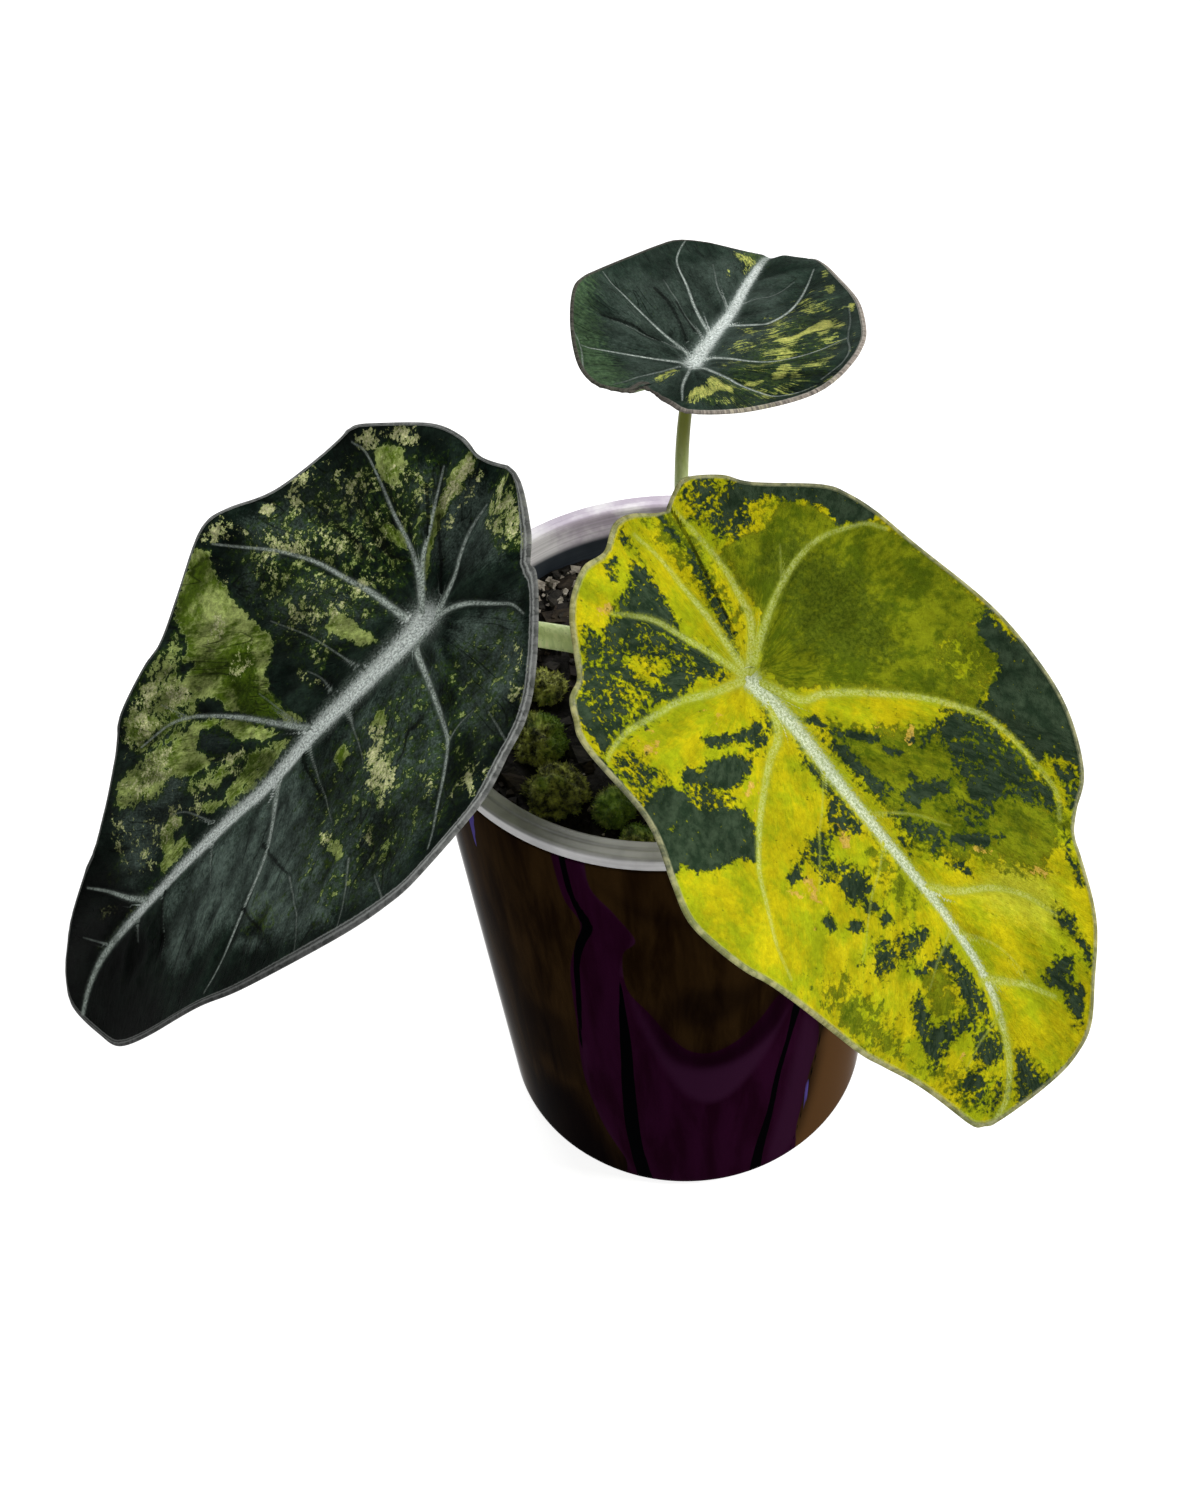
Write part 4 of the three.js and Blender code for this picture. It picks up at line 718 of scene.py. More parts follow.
def upper_face(b, spine, margin, turn, rings):
    """The upper face's plane coordinates, points, normals, and distance to the margin in rim widths"""
    u, v, share, turns = polar_grid(margin, turn, (np.arange(1, rings + 1) / rings) ** 0.8, True)
    edge = np.full(u.shape, CLEAR)
    outer = share > 0.5
    edge[outer] = line_distance(u[outer], v[outer], [*margin[::4], margin[0]])
    side, front = smooth(v / 12 + 0.5), smooth((u - 40) / 40)
    left_back, left_front, right = b["rim"]
    edge /= (left_back * (1 - front) + left_front * front) * side + right * (1 - side)
    normal = blade_normal(b, spine, u, v)
    height = blade_relief(b, u, v, share, turns) + BEAD_HEIGHT * bell(edge - BEAD_PLACE, BEAD_WIDTH)
    return u, v, blade_sheet(b, spine, u, v) + normal * height[:, None], normal, edge


def under_face(b, spine, margin, turn):
    """The underside's plane coordinates and points, with a keel under the midrib and ridges"""
    u, v, share, turns = polar_grid(margin[::2], turn[::2], UNDER_SHARES, False)
    normal = blade_normal(b, spine, u, v)
    rib = bell(line_distance(u, v, b["midrib"]), MIDRIB_WIDTH)
    keel = MIDRIB_KEEL * rib * smooth(share * 4) * (1 - share)
    ridges = bell(nearest(u, v, b["veins"]), RIDGE_WIDTH)
    thick = BLADE_THICKNESS + (RIM_THICKNESS - BLADE_THICKNESS) * smooth((share - 0.8) / 0.2)
    below = blade_relief(b, u, v, share, turns) - thick - keel - RIDGE_HEIGHT * ridges * (1 - share)
    return u, v, blade_sheet(b, spine, u, v) + normal * below[:, None]


def rim_rows(b, spine, margin, top, normal):
    """Rows that round the margin off, from the upper face's last row down to the underside"""
    ahead = np.roll(margin, 1, axis=0) - np.roll(margin, -1, axis=0)
    outward = unit(np.stack([ahead[:, 1], -ahead[:, 0]], -1))
    outward *= np.sign(np.sum(outward * margin, axis=1).mean())
    away = blade_sheet(b, spine, *(margin + outward).T) - blade_sheet(b, spine, *margin.T)
    away = unit(away - normal * np.sum(away * normal, axis=1)[:, None])
    half = RIM_THICKNESS / 2
    angles = [math.pi * k / RIM_ROWS for k in range(1, RIM_ROWS + 1)]
    return [top + away * half * math.sin(a) - normal * half * (1 - math.cos(a)) for a in angles]


def blade_faces(count, rings, under_rows, end):
    """Faces of a blade, and how many of them are on its upper face and rim. After an odd count the
    underside's rows run on as a spiral; end is the point that they close on."""
    starts = [1 + i * count for i in range(rings + RIM_ROWS)]
    faces = [[0, 1 + (i + 1) % count, 1 + i] for i in range(count)]
    for a, c in zip(starts, starts[1:]):
        faces += [q[::-1] for q in quads(np.arange(c, c + count), np.arange(a, a + count))]
    tops = len(faces)
    half, last = count // 2, starts[-1]
    first = last + count
    for i in range(half):
        j = last + 2 * i
        faces.append([j, j + 1, last + (2 * i + 2) % count, first + (i + 1) % half, first + i])
    for r in range(under_rows - 1):
        a = first + r * half
        faces += quads(np.arange(a, a + half), np.arange(a + half, a + 2 * half))
    tail = first + (under_rows - 1) * half
    faces += [[end, tail + i, tail + (i + 1) % half] for i in range(half)]
    return faces, tops


def blade(name, b, tissue, looks, per_point, rings, widths):
    """One closed blade: a fine upper face, a rounded margin, and an underside of half its columns"""
    spine = blade_spine(b)
    margin, turn = even_margin(b["outline"], per_point)
    count = len(margin)
    u, v, top, normal, edge = upper_face(b, spine, margin, turn, rings)
    under_u, under_v, under = under_face(b, spine, margin, turn)
    rim = rim_rows(b, spine, margin, top[-count:], normal[-count:])
    flat_u = np.concatenate([u, *[u[-count:]] * RIM_ROWS, under_u])
    flat_v = np.concatenate([v, *[v[-count:]] * RIM_ROWS, under_v])
    way, far = vein_fields(b, flat_u, flat_v, widths)
    attributes = {
        # the sheen field holds painted sheen, not tissue
        **sector_fields(tissue, ("light", "lime", "deep", "dark", "nap"), flat_u, flat_v, b["tear"]),
        "vein": way,
        "vein_far": far,
        "puff": blade_puffs(flat_u, flat_v),
        "edge": np.concatenate([edge, np.zeros(RIM_ROWS * count), np.full(len(under_u), CLEAR)]),
        "flat": np.stack([flat_u, flat_v, 0 * flat_u], -1),
        "streak": np.stack(along_veins(flat_u, flat_v), -1),
    }
    points = np.vstack([top, *rim, under])
    faces, tops = blade_faces(count, rings, len(UNDER_SHARES), len(points) - 1)
    made = new_object(name, points, faces, looks, attributes)
    indices = np.zeros(len(faces), np.int32)
    indices[tops:] = 1
    made.data.polygons.foreach_set("material_index", indices)
    return made


# Materials
class Look:
    """A material's node tree, with short calls for the nodes that it uses"""

    def __init__(self, name):
        self.material = bpy.data.materials.new(name)
        self.material.use_nodes = True
        self.tree = self.material.node_tree
        self.shader = self.tree.nodes["Principled BSDF"]

    def put(self, socket, value):
        if isinstance(value, bpy.types.NodeSocket):
            self.tree.links.new(value, socket)
        elif isinstance(value, tuple) and len(value) == 3 and socket.type == "RGBA":
            socket.default_value = (*value, 1)
        else:
            socket.default_value = value

    def set(self, **values):
        for key, value in values.items():
            self.put(self.shader.inputs[key.replace("_", " ")], value)

    def node(self, kind, *values, out=0, **settings):
        made = self.tree.nodes.new(kind)
        for key, value in settings.items():
            setattr(made, key, value)
        for i, value in enumerate(values):
            if value is not None:
                self.put(made.inputs[i], value)
        return made.outputs[out]

    def attribute(self, name, out="Fac"):
        return self.node("ShaderNodeAttribute", attribute_name=name, out=out)

    def place(self):
        return self.node("ShaderNodeTexCoord", out="Object")

    def axis(self, vector, index):
        return self.node("ShaderNodeSeparateXYZ", vector, out=index)

    def texture(self, kind, out, **inputs):
        made = self.tree.nodes.new(kind)
        for key, value in inputs.items():
            self.put(made.inputs[key], value)
        return made.outputs[out]

    def noise(self, vector, scale, detail=4.0, roughness=0.5, distortion=0.0):
        return self.texture("ShaderNodeTexNoise", "Fac", Vector=vector, Scale=scale, Detail=detail,
                            Roughness=roughness, Distortion=distortion)

    def cells(self, vector, scale):
        return self.texture("ShaderNodeTexVoronoi", "Distance", Vector=vector, Scale=scale)

    def math(self, operation, a, b=0.0):
        return self.node("ShaderNodeMath", a, b, operation=operation)

    def add(self, total, *others):
        for other in others:
            total = self.math("ADD", total, other)
        return total

    def times(self, product, *others):
        for other in others:
            product = self.math("MULTIPLY", product, other)
        return product

    def gap(self, a, b):
        """How far apart two values are"""
        return self.math("ABSOLUTE", self.math("SUBTRACT", a, b))

    def centred(self, noise, spread):
        """A noise moved to lie about zero"""
        return self.times(self.math("SUBTRACT", noise, 0.5), spread)

    def ramp(self, *values):
        """A value that rises smoothly from one bound to another: value, low, high, result at each"""
        return self.node("ShaderNodeMapRange", *values, interpolation_type="SMOOTHSTEP")

    def mix(self, share, a, b):
        made = self.tree.nodes.new("ShaderNodeMix")
        made.data_type = "RGBA"
        self.put(made.inputs["Factor"], share)
        self.put(made.inputs[6], a)
        self.put(made.inputs[7], b)
        return made.outputs[2]

    def fade(self, a, b, by, low, high, most=1.0):
        """Colour a, turning into b while a value goes from low to high"""
        return self.mix(self.ramp(by, low, high, 0.0, most), a, b)

    def scaled(self, colour, by):
        return self.node("ShaderNodeVectorMath", colour, by, operation="MULTIPLY")

    def stretch(self, vector, scale):
        return self.node("ShaderNodeMapping", vector, None, None, scale)

    def bump(self, height, strength, distance):
        made = self.tree.nodes.new("ShaderNodeBump")
        made.inputs["Strength"].default_value = strength
        made.inputs["Distance"].default_value = distance
        self.put(made.inputs["Height"], height)
        self.put(self.shader.inputs["Normal"], made.outputs["Normal"])


def vein_level(look, rough):
    """Distance to the nearest vein in half-widths, roughened, and how strong that vein is"""
    way = look.attribute("vein", "Vector")
    near = look.node("ShaderNodeVectorMath", look.scaled(way, (1, 1, 0)), operation="LENGTH", out=1)
    far = look.math("SUBTRACT", look.attribute("vein_far"), 2.3)
    return look.add(look.math("MAXIMUM", near, far), rough), look.axis(way, 2)


def leaf_look(name, ground, nap, lime, deep, light, dark, fringe, midrib, vein, margin,
              mottled, puff_shading, creased, drawn_out, flecked, tip):
    """Velvety blade: torn sectors of tissue, hairy pale veins, a pale margin and fine creases, with a
    painted sheen, and painted light and shade on the puffs, creases, folds, veins' sides, margin and tip.

    Each pair of colours is a darker and a paler shade. The second argument is the painted sheen's colour
    and how much of it shows at most. fringe is what a sector fades through, the colour of its border, and
    how much shows. vein also has how much shows in its halo and in its core. margin is two shades, the
    colour of its two lines, how much shows of each, and its fading along an axis, which paints light on
    the margin. The last six say how much the colour follows the grain, how much painted light and shade
    the puffs get, how deep the creases are and how much painted shade they and the veins' sides get, how
    far the torn edges run along the veins, how fine the flecks are, and how dark the tip's painted shade is."""
    look = Look(name)
    flat = look.attribute("flat", "Vector")
    streak = look.attribute("streak", "Vector")
    torn = look.noise(flat, 0.42, 5.0, 0.64, 0.3)
    if drawn_out > 1:
        torn = look.noise(look.stretch(streak, (0.9 / drawn_out, 2.2, 1)), 1.0, 8.0, 0.7, 0.2)
    speck = look.noise(flat, 1.3, 7.0, 0.7)
    islet = look.noise(flat, 1.1, 2.5, 0.6, 0.4)
    broad = look.noise(flat, 0.1, 6.0, 0.62)
    cluster = look.noise(flat, 0.17, 3.0, 0.5)
    medium = look.noise(look.stretch(streak, (0.35, 0.8, 1)), 1.0, 6.0, 0.68)
    fibre = look.noise(look.stretch(streak, (1.1, 3.6, 1)), 1.0, 5.0, 0.7)
    grain = look.noise(flat, 2.0, 6.0, 0.78)

    def level(field, spread, fine=0.6):
        rough = look.add(look.centred(torn, spread), look.centred(islet, spread * fine))
        return look.add(look.attribute(field), rough)

    def shades(colours, by):
        return look.fade(*colours, by, 0.38, 0.62)

    def layer(base, at, colours, by, border, reach):
        """Tissue over the base, with its border's colour where it is thin"""
        over = look.fade(border, shades(colours, by), at, 0.0, reach)
        return look.fade(base, over, at, -0.05, 0.05)

    def clouds(spread):
        return look.add(broad, look.centred(medium, spread))

    # Ground and painted sheen
    colour = shades(ground, clouds(0.5))
    fine = look.add(look.centred(fibre, 1.3), look.centred(grain, 2.8))
    rough = look.add(look.centred(broad, 0.5), look.centred(medium, 0.6), fine)
    # Painted sheen: paler where the sectors of sheen lie and on top of the puffs
    sheen_level = look.add(look.attribute("nap"), look.times(look.attribute("puff"), 0.4), rough)
    sheen_colour, sheen_most = nap
    colour = look.fade(colour, sheen_colour, sheen_level, -0.8, 0.9, sheen_most)

    # Tissue, one kind over the other
    passing, border, shown = fringe
    lime_level = level("lime", spread=3.6)
    colour = look.fade(colour, passing, lime_level, -0.8, -0.05, shown)
    colour = layer(colour, lime_level, lime, clouds(0.8), border, 0.4)
    colour = look.fade(colour, shades(deep, speck), level("deep", spread=2.4), -0.4, 0.5)
    fleck = look.add(look.centred(speck, 4.2 * flecked), look.centred(torn, 4.2 - 1.4 * flecked),
                     look.centred(cluster, 2.8))
    light_level = look.add(look.attribute("light"), fleck)
    colour = layer(colour, light_level, light, grain, light[0], 0.8 - 0.5 * flecked)
    dark_level = level("dark", spread=3.8, fine=1.1)
    colour = look.fade(colour, passing, dark_level, -0.9, -0.05, shown)
    colour = layer(colour, dark_level, dark, medium, dark[0], 0.3)

    # Mottling, painted light and shade on the puffs, and painted shade on the tip
    mottle = look.ramp(look.noise(flat, 0.7, 9.0, 0.75), 0.32, 0.68, 1 - mottled, 1 + mottled)
    fuzz = look.ramp(fibre, 0.25, 0.75, 1 - 0.6 * mottled, 1 + 0.6 * mottled)
    # Painted light and shade: the colour is paler on top of the puffs and darker between them
    swell = look.ramp(look.attribute("puff"), -0.4, 0.4, 1 - puff_shading, 1 + puff_shading)
    colour = look.scaled(colour, look.times(mottle, fuzz, swell))
    # Painted shade: the tip, which bends away from the light, is darkened
    colour = look.scaled(colour, look.ramp(look.axis(flat, 0), 80, 96, 1.0, tip))

    # Creases along the side veins: bumps, with painted shade in them
    wander = look.noise(look.stretch(streak, (0.045, 0.32, 1)), 1.0, 2.0, 0.5, 0.5)
    crease = look.ramp(look.gap(wander, 0.5), 0.0, 0.022)
    calm = look.ramp(look.noise(flat, 0.09, 1.0), 0.42, 0.58)
    crease = look.math("MAXIMUM", crease, calm)
    # Painted shade: the colour is darker in the creases
    colour = look.scaled(colour, look.ramp(crease, 0.0, 1.0, 1 - creased, 1.0))

    # Veins: painted shade beside them, a halo, and a hairy core; folds are dark lines of painted shade
    pale_hairs, bright_hairs, halo_most, core_most = vein
    hairs = look.add(look.centred(grain, 3.2), look.centred(fibre, 1.6))
    vein_at, strength = vein_level(look, hairs)
    # Painted shade along the sides of the veins
    shade = look.times(look.ramp(vein_at, 4.2, 1.6), look.ramp(strength, 0.7, 0.5))
    colour = look.scaled(colour, look.ramp(shade, 0.0, 1.0, 1.0, 1 - 0.5 * creased))
    halo = look.times(look.ramp(vein_at, 2.2, 0.8), look.times(strength, halo_most))
    colour = look.mix(halo, colour, pale_hairs)
    # Painted shade in the folds
    fold = look.times(look.ramp(vein_at, 1.7, 0.4), look.ramp(strength, -0.1, -0.4))
    colour = look.scaled(colour, look.ramp(fold, 0.0, 1.0, 1.0, 0.3))
    kind = look.ramp(strength, 0.6, 0.7)
    worn = look.math("MAXIMUM", look.ramp(look.noise(flat, 0.3, 5.0, 0.7), 0.32, 0.6, 0.5, 1.0), kind)
    raised = look.times(worn, look.ramp(strength, -0.05, 0.05))
    whole = look.times(look.ramp(strength, 0.1, 0.6, 0.12, core_most), raised)
    core = look.times(look.ramp(vein_at, 1.3, 0.6), whole)
    pale, bright = look.mix(kind, pale_hairs, midrib[0]), look.mix(kind, bright_hairs, midrib[1])
    colour = look.mix(core, colour, look.fade(pale, bright, grain, 0.44, 0.56))

    # Margin
    *margin_shades, line_colour, margin_most, line_most, (axis, *fading) = margin
    edge = look.add(look.attribute("edge"), look.centred(speck, 0.7))
    # Painted light: the rim and its lines are paler along an axis, where light falls on the margin
    shine = look.ramp(look.axis(flat, axis), *fading)
    rim = look.scaled(shades(margin_shades, torn), shine)
    colour = look.fade(colour, rim, edge, 1.1, 0.7, margin_most)
    line = look.math("MINIMUM", look.gap(edge, 1.15), look.gap(edge, 0.45))
    colour = look.fade(colour, look.scaled(line_colour, shine), line, 0.25, 0.05, line_most)
    look.set(Base_Color=colour, Roughness=0.65, Specular_IOR_Level=0.02, Sheen_Weight=0.004,
             Sheen_Roughness=0.4)
    height = look.add(look.times(grain, 0.5), look.times(medium, 0.9), look.times(crease, 1.4 * creased))
    look.bump(height, 0.7, 0.0009)
    return look.material


def underside_look(name, dull, pale, vein):
    look = Look(name)
    flat = look.attribute("flat", "Vector")
    colour = look.fade(dull, pale, look.noise(flat, 0.15, 6.0, 0.6), 0.4, 0.6)
    vein_at, strength = vein_level(look, look.centred(look.noise(flat, 2.0, 3.0, 0.6), 0.6))
    ridge = look.times(look.ramp(vein_at, 1.6, 0.6, 0.0, 0.8), look.ramp(strength, -0.05, 0.05))
    look.set(Base_Color=look.mix(ridge, colour, vein), Roughness=0.5, Specular_IOR_Level=0.2)
    look.bump(look.noise(flat, 2.0, 4.0, 0.6), 0.3, 0.0003)
    return look.material


def petiole_look():
    """Fresh green with fine streaks and freckles, olive under the blades and at the crown, and with painted
    light making it paler at the left"""
    look = Look("petiole")
    place = look.place()
    streak = look.noise(look.stretch(place, (900, 900, 120)), 1.0, 4.0, 0.6)
    freckle = look.noise(place, 1100, 3.0, 0.6)
    height = look.axis(place, 2)
    colour = look.fade((0.46, 0.56, 0.25), (0.62, 0.7, 0.38), streak, 0.35, 0.65)
    colour = look.fade(colour, (0.2, 0.22, 0.04), height, 0.164, 0.184)
    # Painted light: the stalk on the left, shaded by the blades, is painted paler
    colour = look.scaled(colour, look.ramp(look.axis(place, 0), -0.012, -0.024, 1.0, 1.55))
    colour = look.fade(colour, (0.2, 0.2, 0.06), height, 0.142, 0.130)
    colour = look.fade(colour, (0.14, 0.17, 0.06), freckle, 0.6, 0.7, 0.35)
    look.set(Base_Color=colour, Roughness=0.42, Specular_IOR_Level=0.2)
    look.bump(streak, 0.25, 0.0002)
    return look.material


def pot_look():
    """High gloss, near black, with painted reflections in umber and plum, black lines between them, and
    painted highlights
    """
    look = Look("outer_pot")
    place = look.place()
    grain = look.noise(look.stretch(place, (160, 160, 22)), 1.0, 5.0, 0.6, 0.3)
    cloud = look.centred(look.noise(place, 28.0, 4.0, 0.5, 0.6), 0.7)

    def level(field):
        return look.add(look.attribute(field), cloud)

    # Painted reflections: the umber and plum zones, the violet, amber and dark patches and the black lines
    # stand in for what the glossy pot reflects, and the glint is a painted highlight; the specular level is
    # near zero
    plum = look.fade((0.0085, 0.0004, 0.0046), (0.0155, 0.0016, 0.0105), grain, 0.35, 0.65)
    plum = look.fade(plum, (0.022, 0.0048, 0.0175), level("violet"), -1.2, 1.2)
    colour = look.fade((0.0055, 0.0024, 0.0005), (0.021, 0.0108, 0.003), grain, 0.35, 0.68)
    for field, tint, low, high, most in (
        ("soot", (0.0006, 0.0002, 0.0004), -1.5, 1.5, 1.0),
        ("amber", (0.066, 0.031, 0.01), -1.0, 1.0, 1.0),
        ("plum", plum, -0.25, 0.25, 1.0),
        ("dusk", (0.0035, 0.0002, 0.002), -2.5, 2.0, 0.85),
        ("ink", (0.0003, 0.0002, 0.0005), -0.35, 0.1, 1.0),
        ("glint", (0.06, 0.045, 0.2), -0.3, 0.3, 1.0),
    ):
        colour = look.fade(colour, tint, level(field), low, high, most)
    look.set(Base_Color=colour, Roughness=0.05, Specular_IOR_Level=0.0003)
    look.bump(look.noise(place, 60.0, 2.0, 0.5), 0.03, 0.0005)
    return look.material


def cup_look():
    """Frosted: a milky ring with painted shade making it greyer in front and painted light and a painted
    lavender reflection making it paler at the back, and a dark wall inside the pot
    """
    look = Look("inner_cup")
    place = look.place()
    cloud = look.noise(place, 90, 4.0, 0.55)
    turned_marks = look.noise(look.stretch(place, (30, 30, 2600)), 1.0, 3.0, 0.6)
    near = look.fade((0.26, 0.258, 0.264), (0.41, 0.405, 0.412), cloud, 0.35, 0.65)
    far = look.fade((0.5, 0.43, 0.54), (0.82, 0.79, 0.84), cloud, 0.4, 0.6)
    # Painted light and shade: the ring is greyer at the front and paler, lavender at the back
    ring = look.fade(near, far, look.axis(place, 1), -0.012, 0.022)
    wall = look.fade((0.016, 0.021, 0.028), (0.03, 0.036, 0.046), cloud, 0.35, 0.65)
    colour = look.fade(wall, ring, look.axis(place, 2), 0.1315, 0.1335)
    colour = look.scaled(colour, look.ramp(turned_marks, 0.3, 0.7, 0.85, 1.12))
    look.set(Base_Color=colour, Roughness=look.ramp(cloud, 0.3, 0.7, 0.26, 0.4), Specular_IOR_Level=0.3)
    look.bump(turned_marks, 0.1, 0.0001)
    return look.material


def soil_look():
    look = Look("potting_mix")
    place = look.place()
    clod = look.noise(place, 260, 7.0, 0.7)
    colour = look.fade((0.0015, 0.0012, 0.0009), (0.009, 0.007, 0.005), clod, 0.35, 0.68)
    colour = look.fade(colour, (0.07, 0.06, 0.045), look.cells(place, 900), 0.14, 0.07, 0.45)
    look.set(Base_Color=colour, Roughness=look.ramp(clod, 0.4, 0.6, 0.9, 0.6), Specular_IOR_Level=0.15)
    look.bump(clod, 0.8, 0.0015)
    return look.material


def chip_look(name, dark, pale, rough):
    look = Look(name)
    place = look.place()
    grain = look.noise(look.stretch(place, (500, 1400, 900)), 1.0, 6.0, 0.65)
    colour = look.fade(dark, pale, grain, 0.35, 0.65)
    colour = look.fade(colour, dark, look.noise(place, 160, 3.0, 0.5), 0.45, 0.6, 0.6)
    look.set(Base_Color=colour, Roughness=rough, Specular_IOR_Level=0.2)
    look.bump(grain, 0.6, 0.0006)
    return look.material


def moss_look():
    look = Look("moss")
    place = look.place()
    tuft = look.noise(place, 520, 6.0, 0.72)
    colour = look.fade((0.016, 0.02, 0.003), (0.5, 0.53, 0.12), tuft, 0.36, 0.66)
    colour = look.fade(colour, (0.13, 0.27, 0.014), look.noise(place, 90, 3.0, 0.5), 0.48, 0.62, 0.7)
    colour = look.scaled(colour, look.ramp(tuft, 0.3, 0.7, 0.7, 1.2))
    look.set(Base_Color=colour, Roughness=0.85, Sheen_Weight=0.15, Specular_IOR_Level=0.15)
    look.bump(tuft, 0.9, 0.001)
    return look.material


def crown_look():
    look = Look("crown")
    fibre = look.noise(look.stretch(look.place(), (900, 900, 200)), 1.0, 6.0, 0.7)
    colour = look.fade((0.05, 0.035, 0.014), (0.2, 0.17, 0.07), fibre, 0.35, 0.65)
    look.set(Base_Color=colour, Roughness=0.7, Specular_IOR_Level=0.25)
    look.bump(fibre, 0.6, 0.0008)
    return look.material


# Blades of the plant
under_left = underside_look("underside_left", (0.07, 0.09, 0.055), (0.14, 0.17, 0.08), (0.26, 0.27, 0.19))
under_right = underside_look("underside_right", (0.26, 0.28, 0.06), (0.38, 0.38, 0.09), (0.45, 0.45, 0.27))
under_back = underside_look("underside_back", (0.1, 0.13, 0.07), (0.18, 0.21, 0.1), (0.3, 0.32, 0.22))
look_left = leaf_look(
    "blade_left",
    ground=((0.0026, 0.0068, 0.0044), (0.0092, 0.0172, 0.0118)),
    nap=((0.069, 0.096, 0.08), 0.85),
    lime=((0.055, 0.092, 0.006), (0.235, 0.285, 0.085)),
    deep=((0.026, 0.052, 0.002), (0.056, 0.094, 0.005)),
    light=((0.22, 0.27, 0.08), (0.52, 0.5, 0.3)),
    dark=((0.005, 0.01, 0.008), (0.016, 0.024, 0.02)),
    fringe=((0.016, 0.034, 0.004), (0.2, 0.25, 0.08), 0.85),
    midrib=((0.34, 0.39, 0.36), (0.9, 0.97, 0.93)),
    vein=((0.14, 0.172, 0.148), (0.56, 0.64, 0.58), 0.5, 0.85),
    margin=((0.09, 0.095, 0.09), (0.2, 0.205, 0.2), (0.42, 0.44, 0.42), 0.9, 0.6, (0, 15, 60, 1.0, 0.45)),
    mottled=0.42, puff_shading=0.5, creased=0.5, drawn_out=1.0, flecked=1.0, tip=0.2)
look_right = leaf_look(
    "blade_right",
    ground=((0.29, 0.335, 0.005), (0.465, 0.405, 0.004)),
    nap=((0.44, 0.45, 0.03), 0.8),
    lime=((0.072, 0.106, 0.003), (0.18, 0.21, 0.005)),
    deep=((0.045, 0.068, 0.003), (0.09, 0.12, 0.006)),
    light=((0.5, 0.34, 0.04), (0.66, 0.46, 0.13)),
    dark=((0.013, 0.026, 0.013), (0.034, 0.054, 0.03)),
    fringe=((0.042, 0.07, 0.004), (0.15, 0.175, 0.005), 0.8),
    midrib=((0.34, 0.43, 0.3), (0.88, 0.96, 0.84)),
    vein=((0.32, 0.38, 0.03), (0.58, 0.66, 0.24), 0.7, 0.65),
    margin=((0.12, 0.13, 0.08), (0.38, 0.37, 0.2), (0.3, 0.33, 0.18), 0.8, 0.3, (0, 0, 1, 1.0, 1.0)),
    mottled=0.18, puff_shading=0.16, creased=0.0, drawn_out=1.0, flecked=0.3, tip=1.0)
look_back = leaf_look(
    "blade_back",
    ground=((0.01, 0.02, 0.014), (0.021, 0.034, 0.026)),
    nap=((0.052, 0.07, 0.06), 0.7),
    lime=((0.02, 0.042, 0.01), (0.05, 0.08, 0.016)),
    deep=((0.034, 0.066, 0.03), (0.054, 0.094, 0.046)),
    light=((0.22, 0.26, 0.06), (0.5, 0.48, 0.13)),
    dark=((0.01, 0.018, 0.014), (0.018, 0.033, 0.026)),
    fringe=((0.03, 0.055, 0.012), (0.05, 0.08, 0.02), 0.7),
    midrib=((0.36, 0.42, 0.39), (0.88, 0.94, 0.92)),
    vein=((0.16, 0.2, 0.18), (0.56, 0.62, 0.58), 0.5, 0.85),
    margin=((0.17, 0.15, 0.13), (0.46, 0.4, 0.35), (0.4, 0.39, 0.34), 0.8, 0.5, (1, 6, -14, 0.2, 1.0)),
    mottled=0.3, puff_shading=0.3, creased=0.4, drawn_out=4.5, flecked=0.4, tip=1.0)

# After the looks: columns to each point of the outline, rings, and the half-widths in mm of the
# midrib, the veins and the minor veins, each at its root and its tip
BLADES = (
    ("left", LEFT, LEFT_TISSUE, (look_left, under_left), 15, 140, ((3.1, 0.6), (0.85, 0.22), (0.26, 0.16))),
    ("right", RIGHT, RIGHT_TISSUE, (look_right, under_right), 13, 140, ((1.9, 0.5), (1.0, 0.4), (0.35, 0.2))),
    ("back", BACK, BACK_TISSUE, (look_back, under_back), 14, 100, ((1.7, 0.7), (0.45, 0.14), (0.2, 0.15))),
)
for side, *shape_and_looks in BLADES:
    made = blade(f"leaf_{side}", *shape_and_looks)
    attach(made, "root")
    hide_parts(f"blade_{side}")


# Petioles: the route and radii of the CAD, made round, and widened where they meet the blade
def bezier(route, t):
    """Points of a cubic curve, and its directions"""
    p0, p1, p2, p3 = (np.array(p, float) for p in route)
    t = t[:, None]
    point = p0 * (1 - t) ** 3 + 3 * p1 * t * (1 - t) ** 2 + 3 * p2 * t**2 * (1 - t) + p3 * t**3
    return point, unit(3 * (p1 - p0) * (1 - t) ** 2 + 6 * (p2 - p1) * t * (1 - t) + 3 * (p3 - p2) * t**2)


def tube(name, centres, along, radii, sides, look):
    side = np.array([1.0, 0, 0])
    a = 2 * np.pi * np.arange(sides) / sides
    points = []
    for c, d, r in zip(centres, along, radii):
        side = side - d * (side @ d)
        side /= np.linalg.norm(side)
        other = np.cross(d, side)
        points.append(c + r * (np.cos(a)[:, None] * side + np.sin(a)[:, None] * other))
    return new_object(name, np.vstack(points), capped(len(centres), sides), [look])


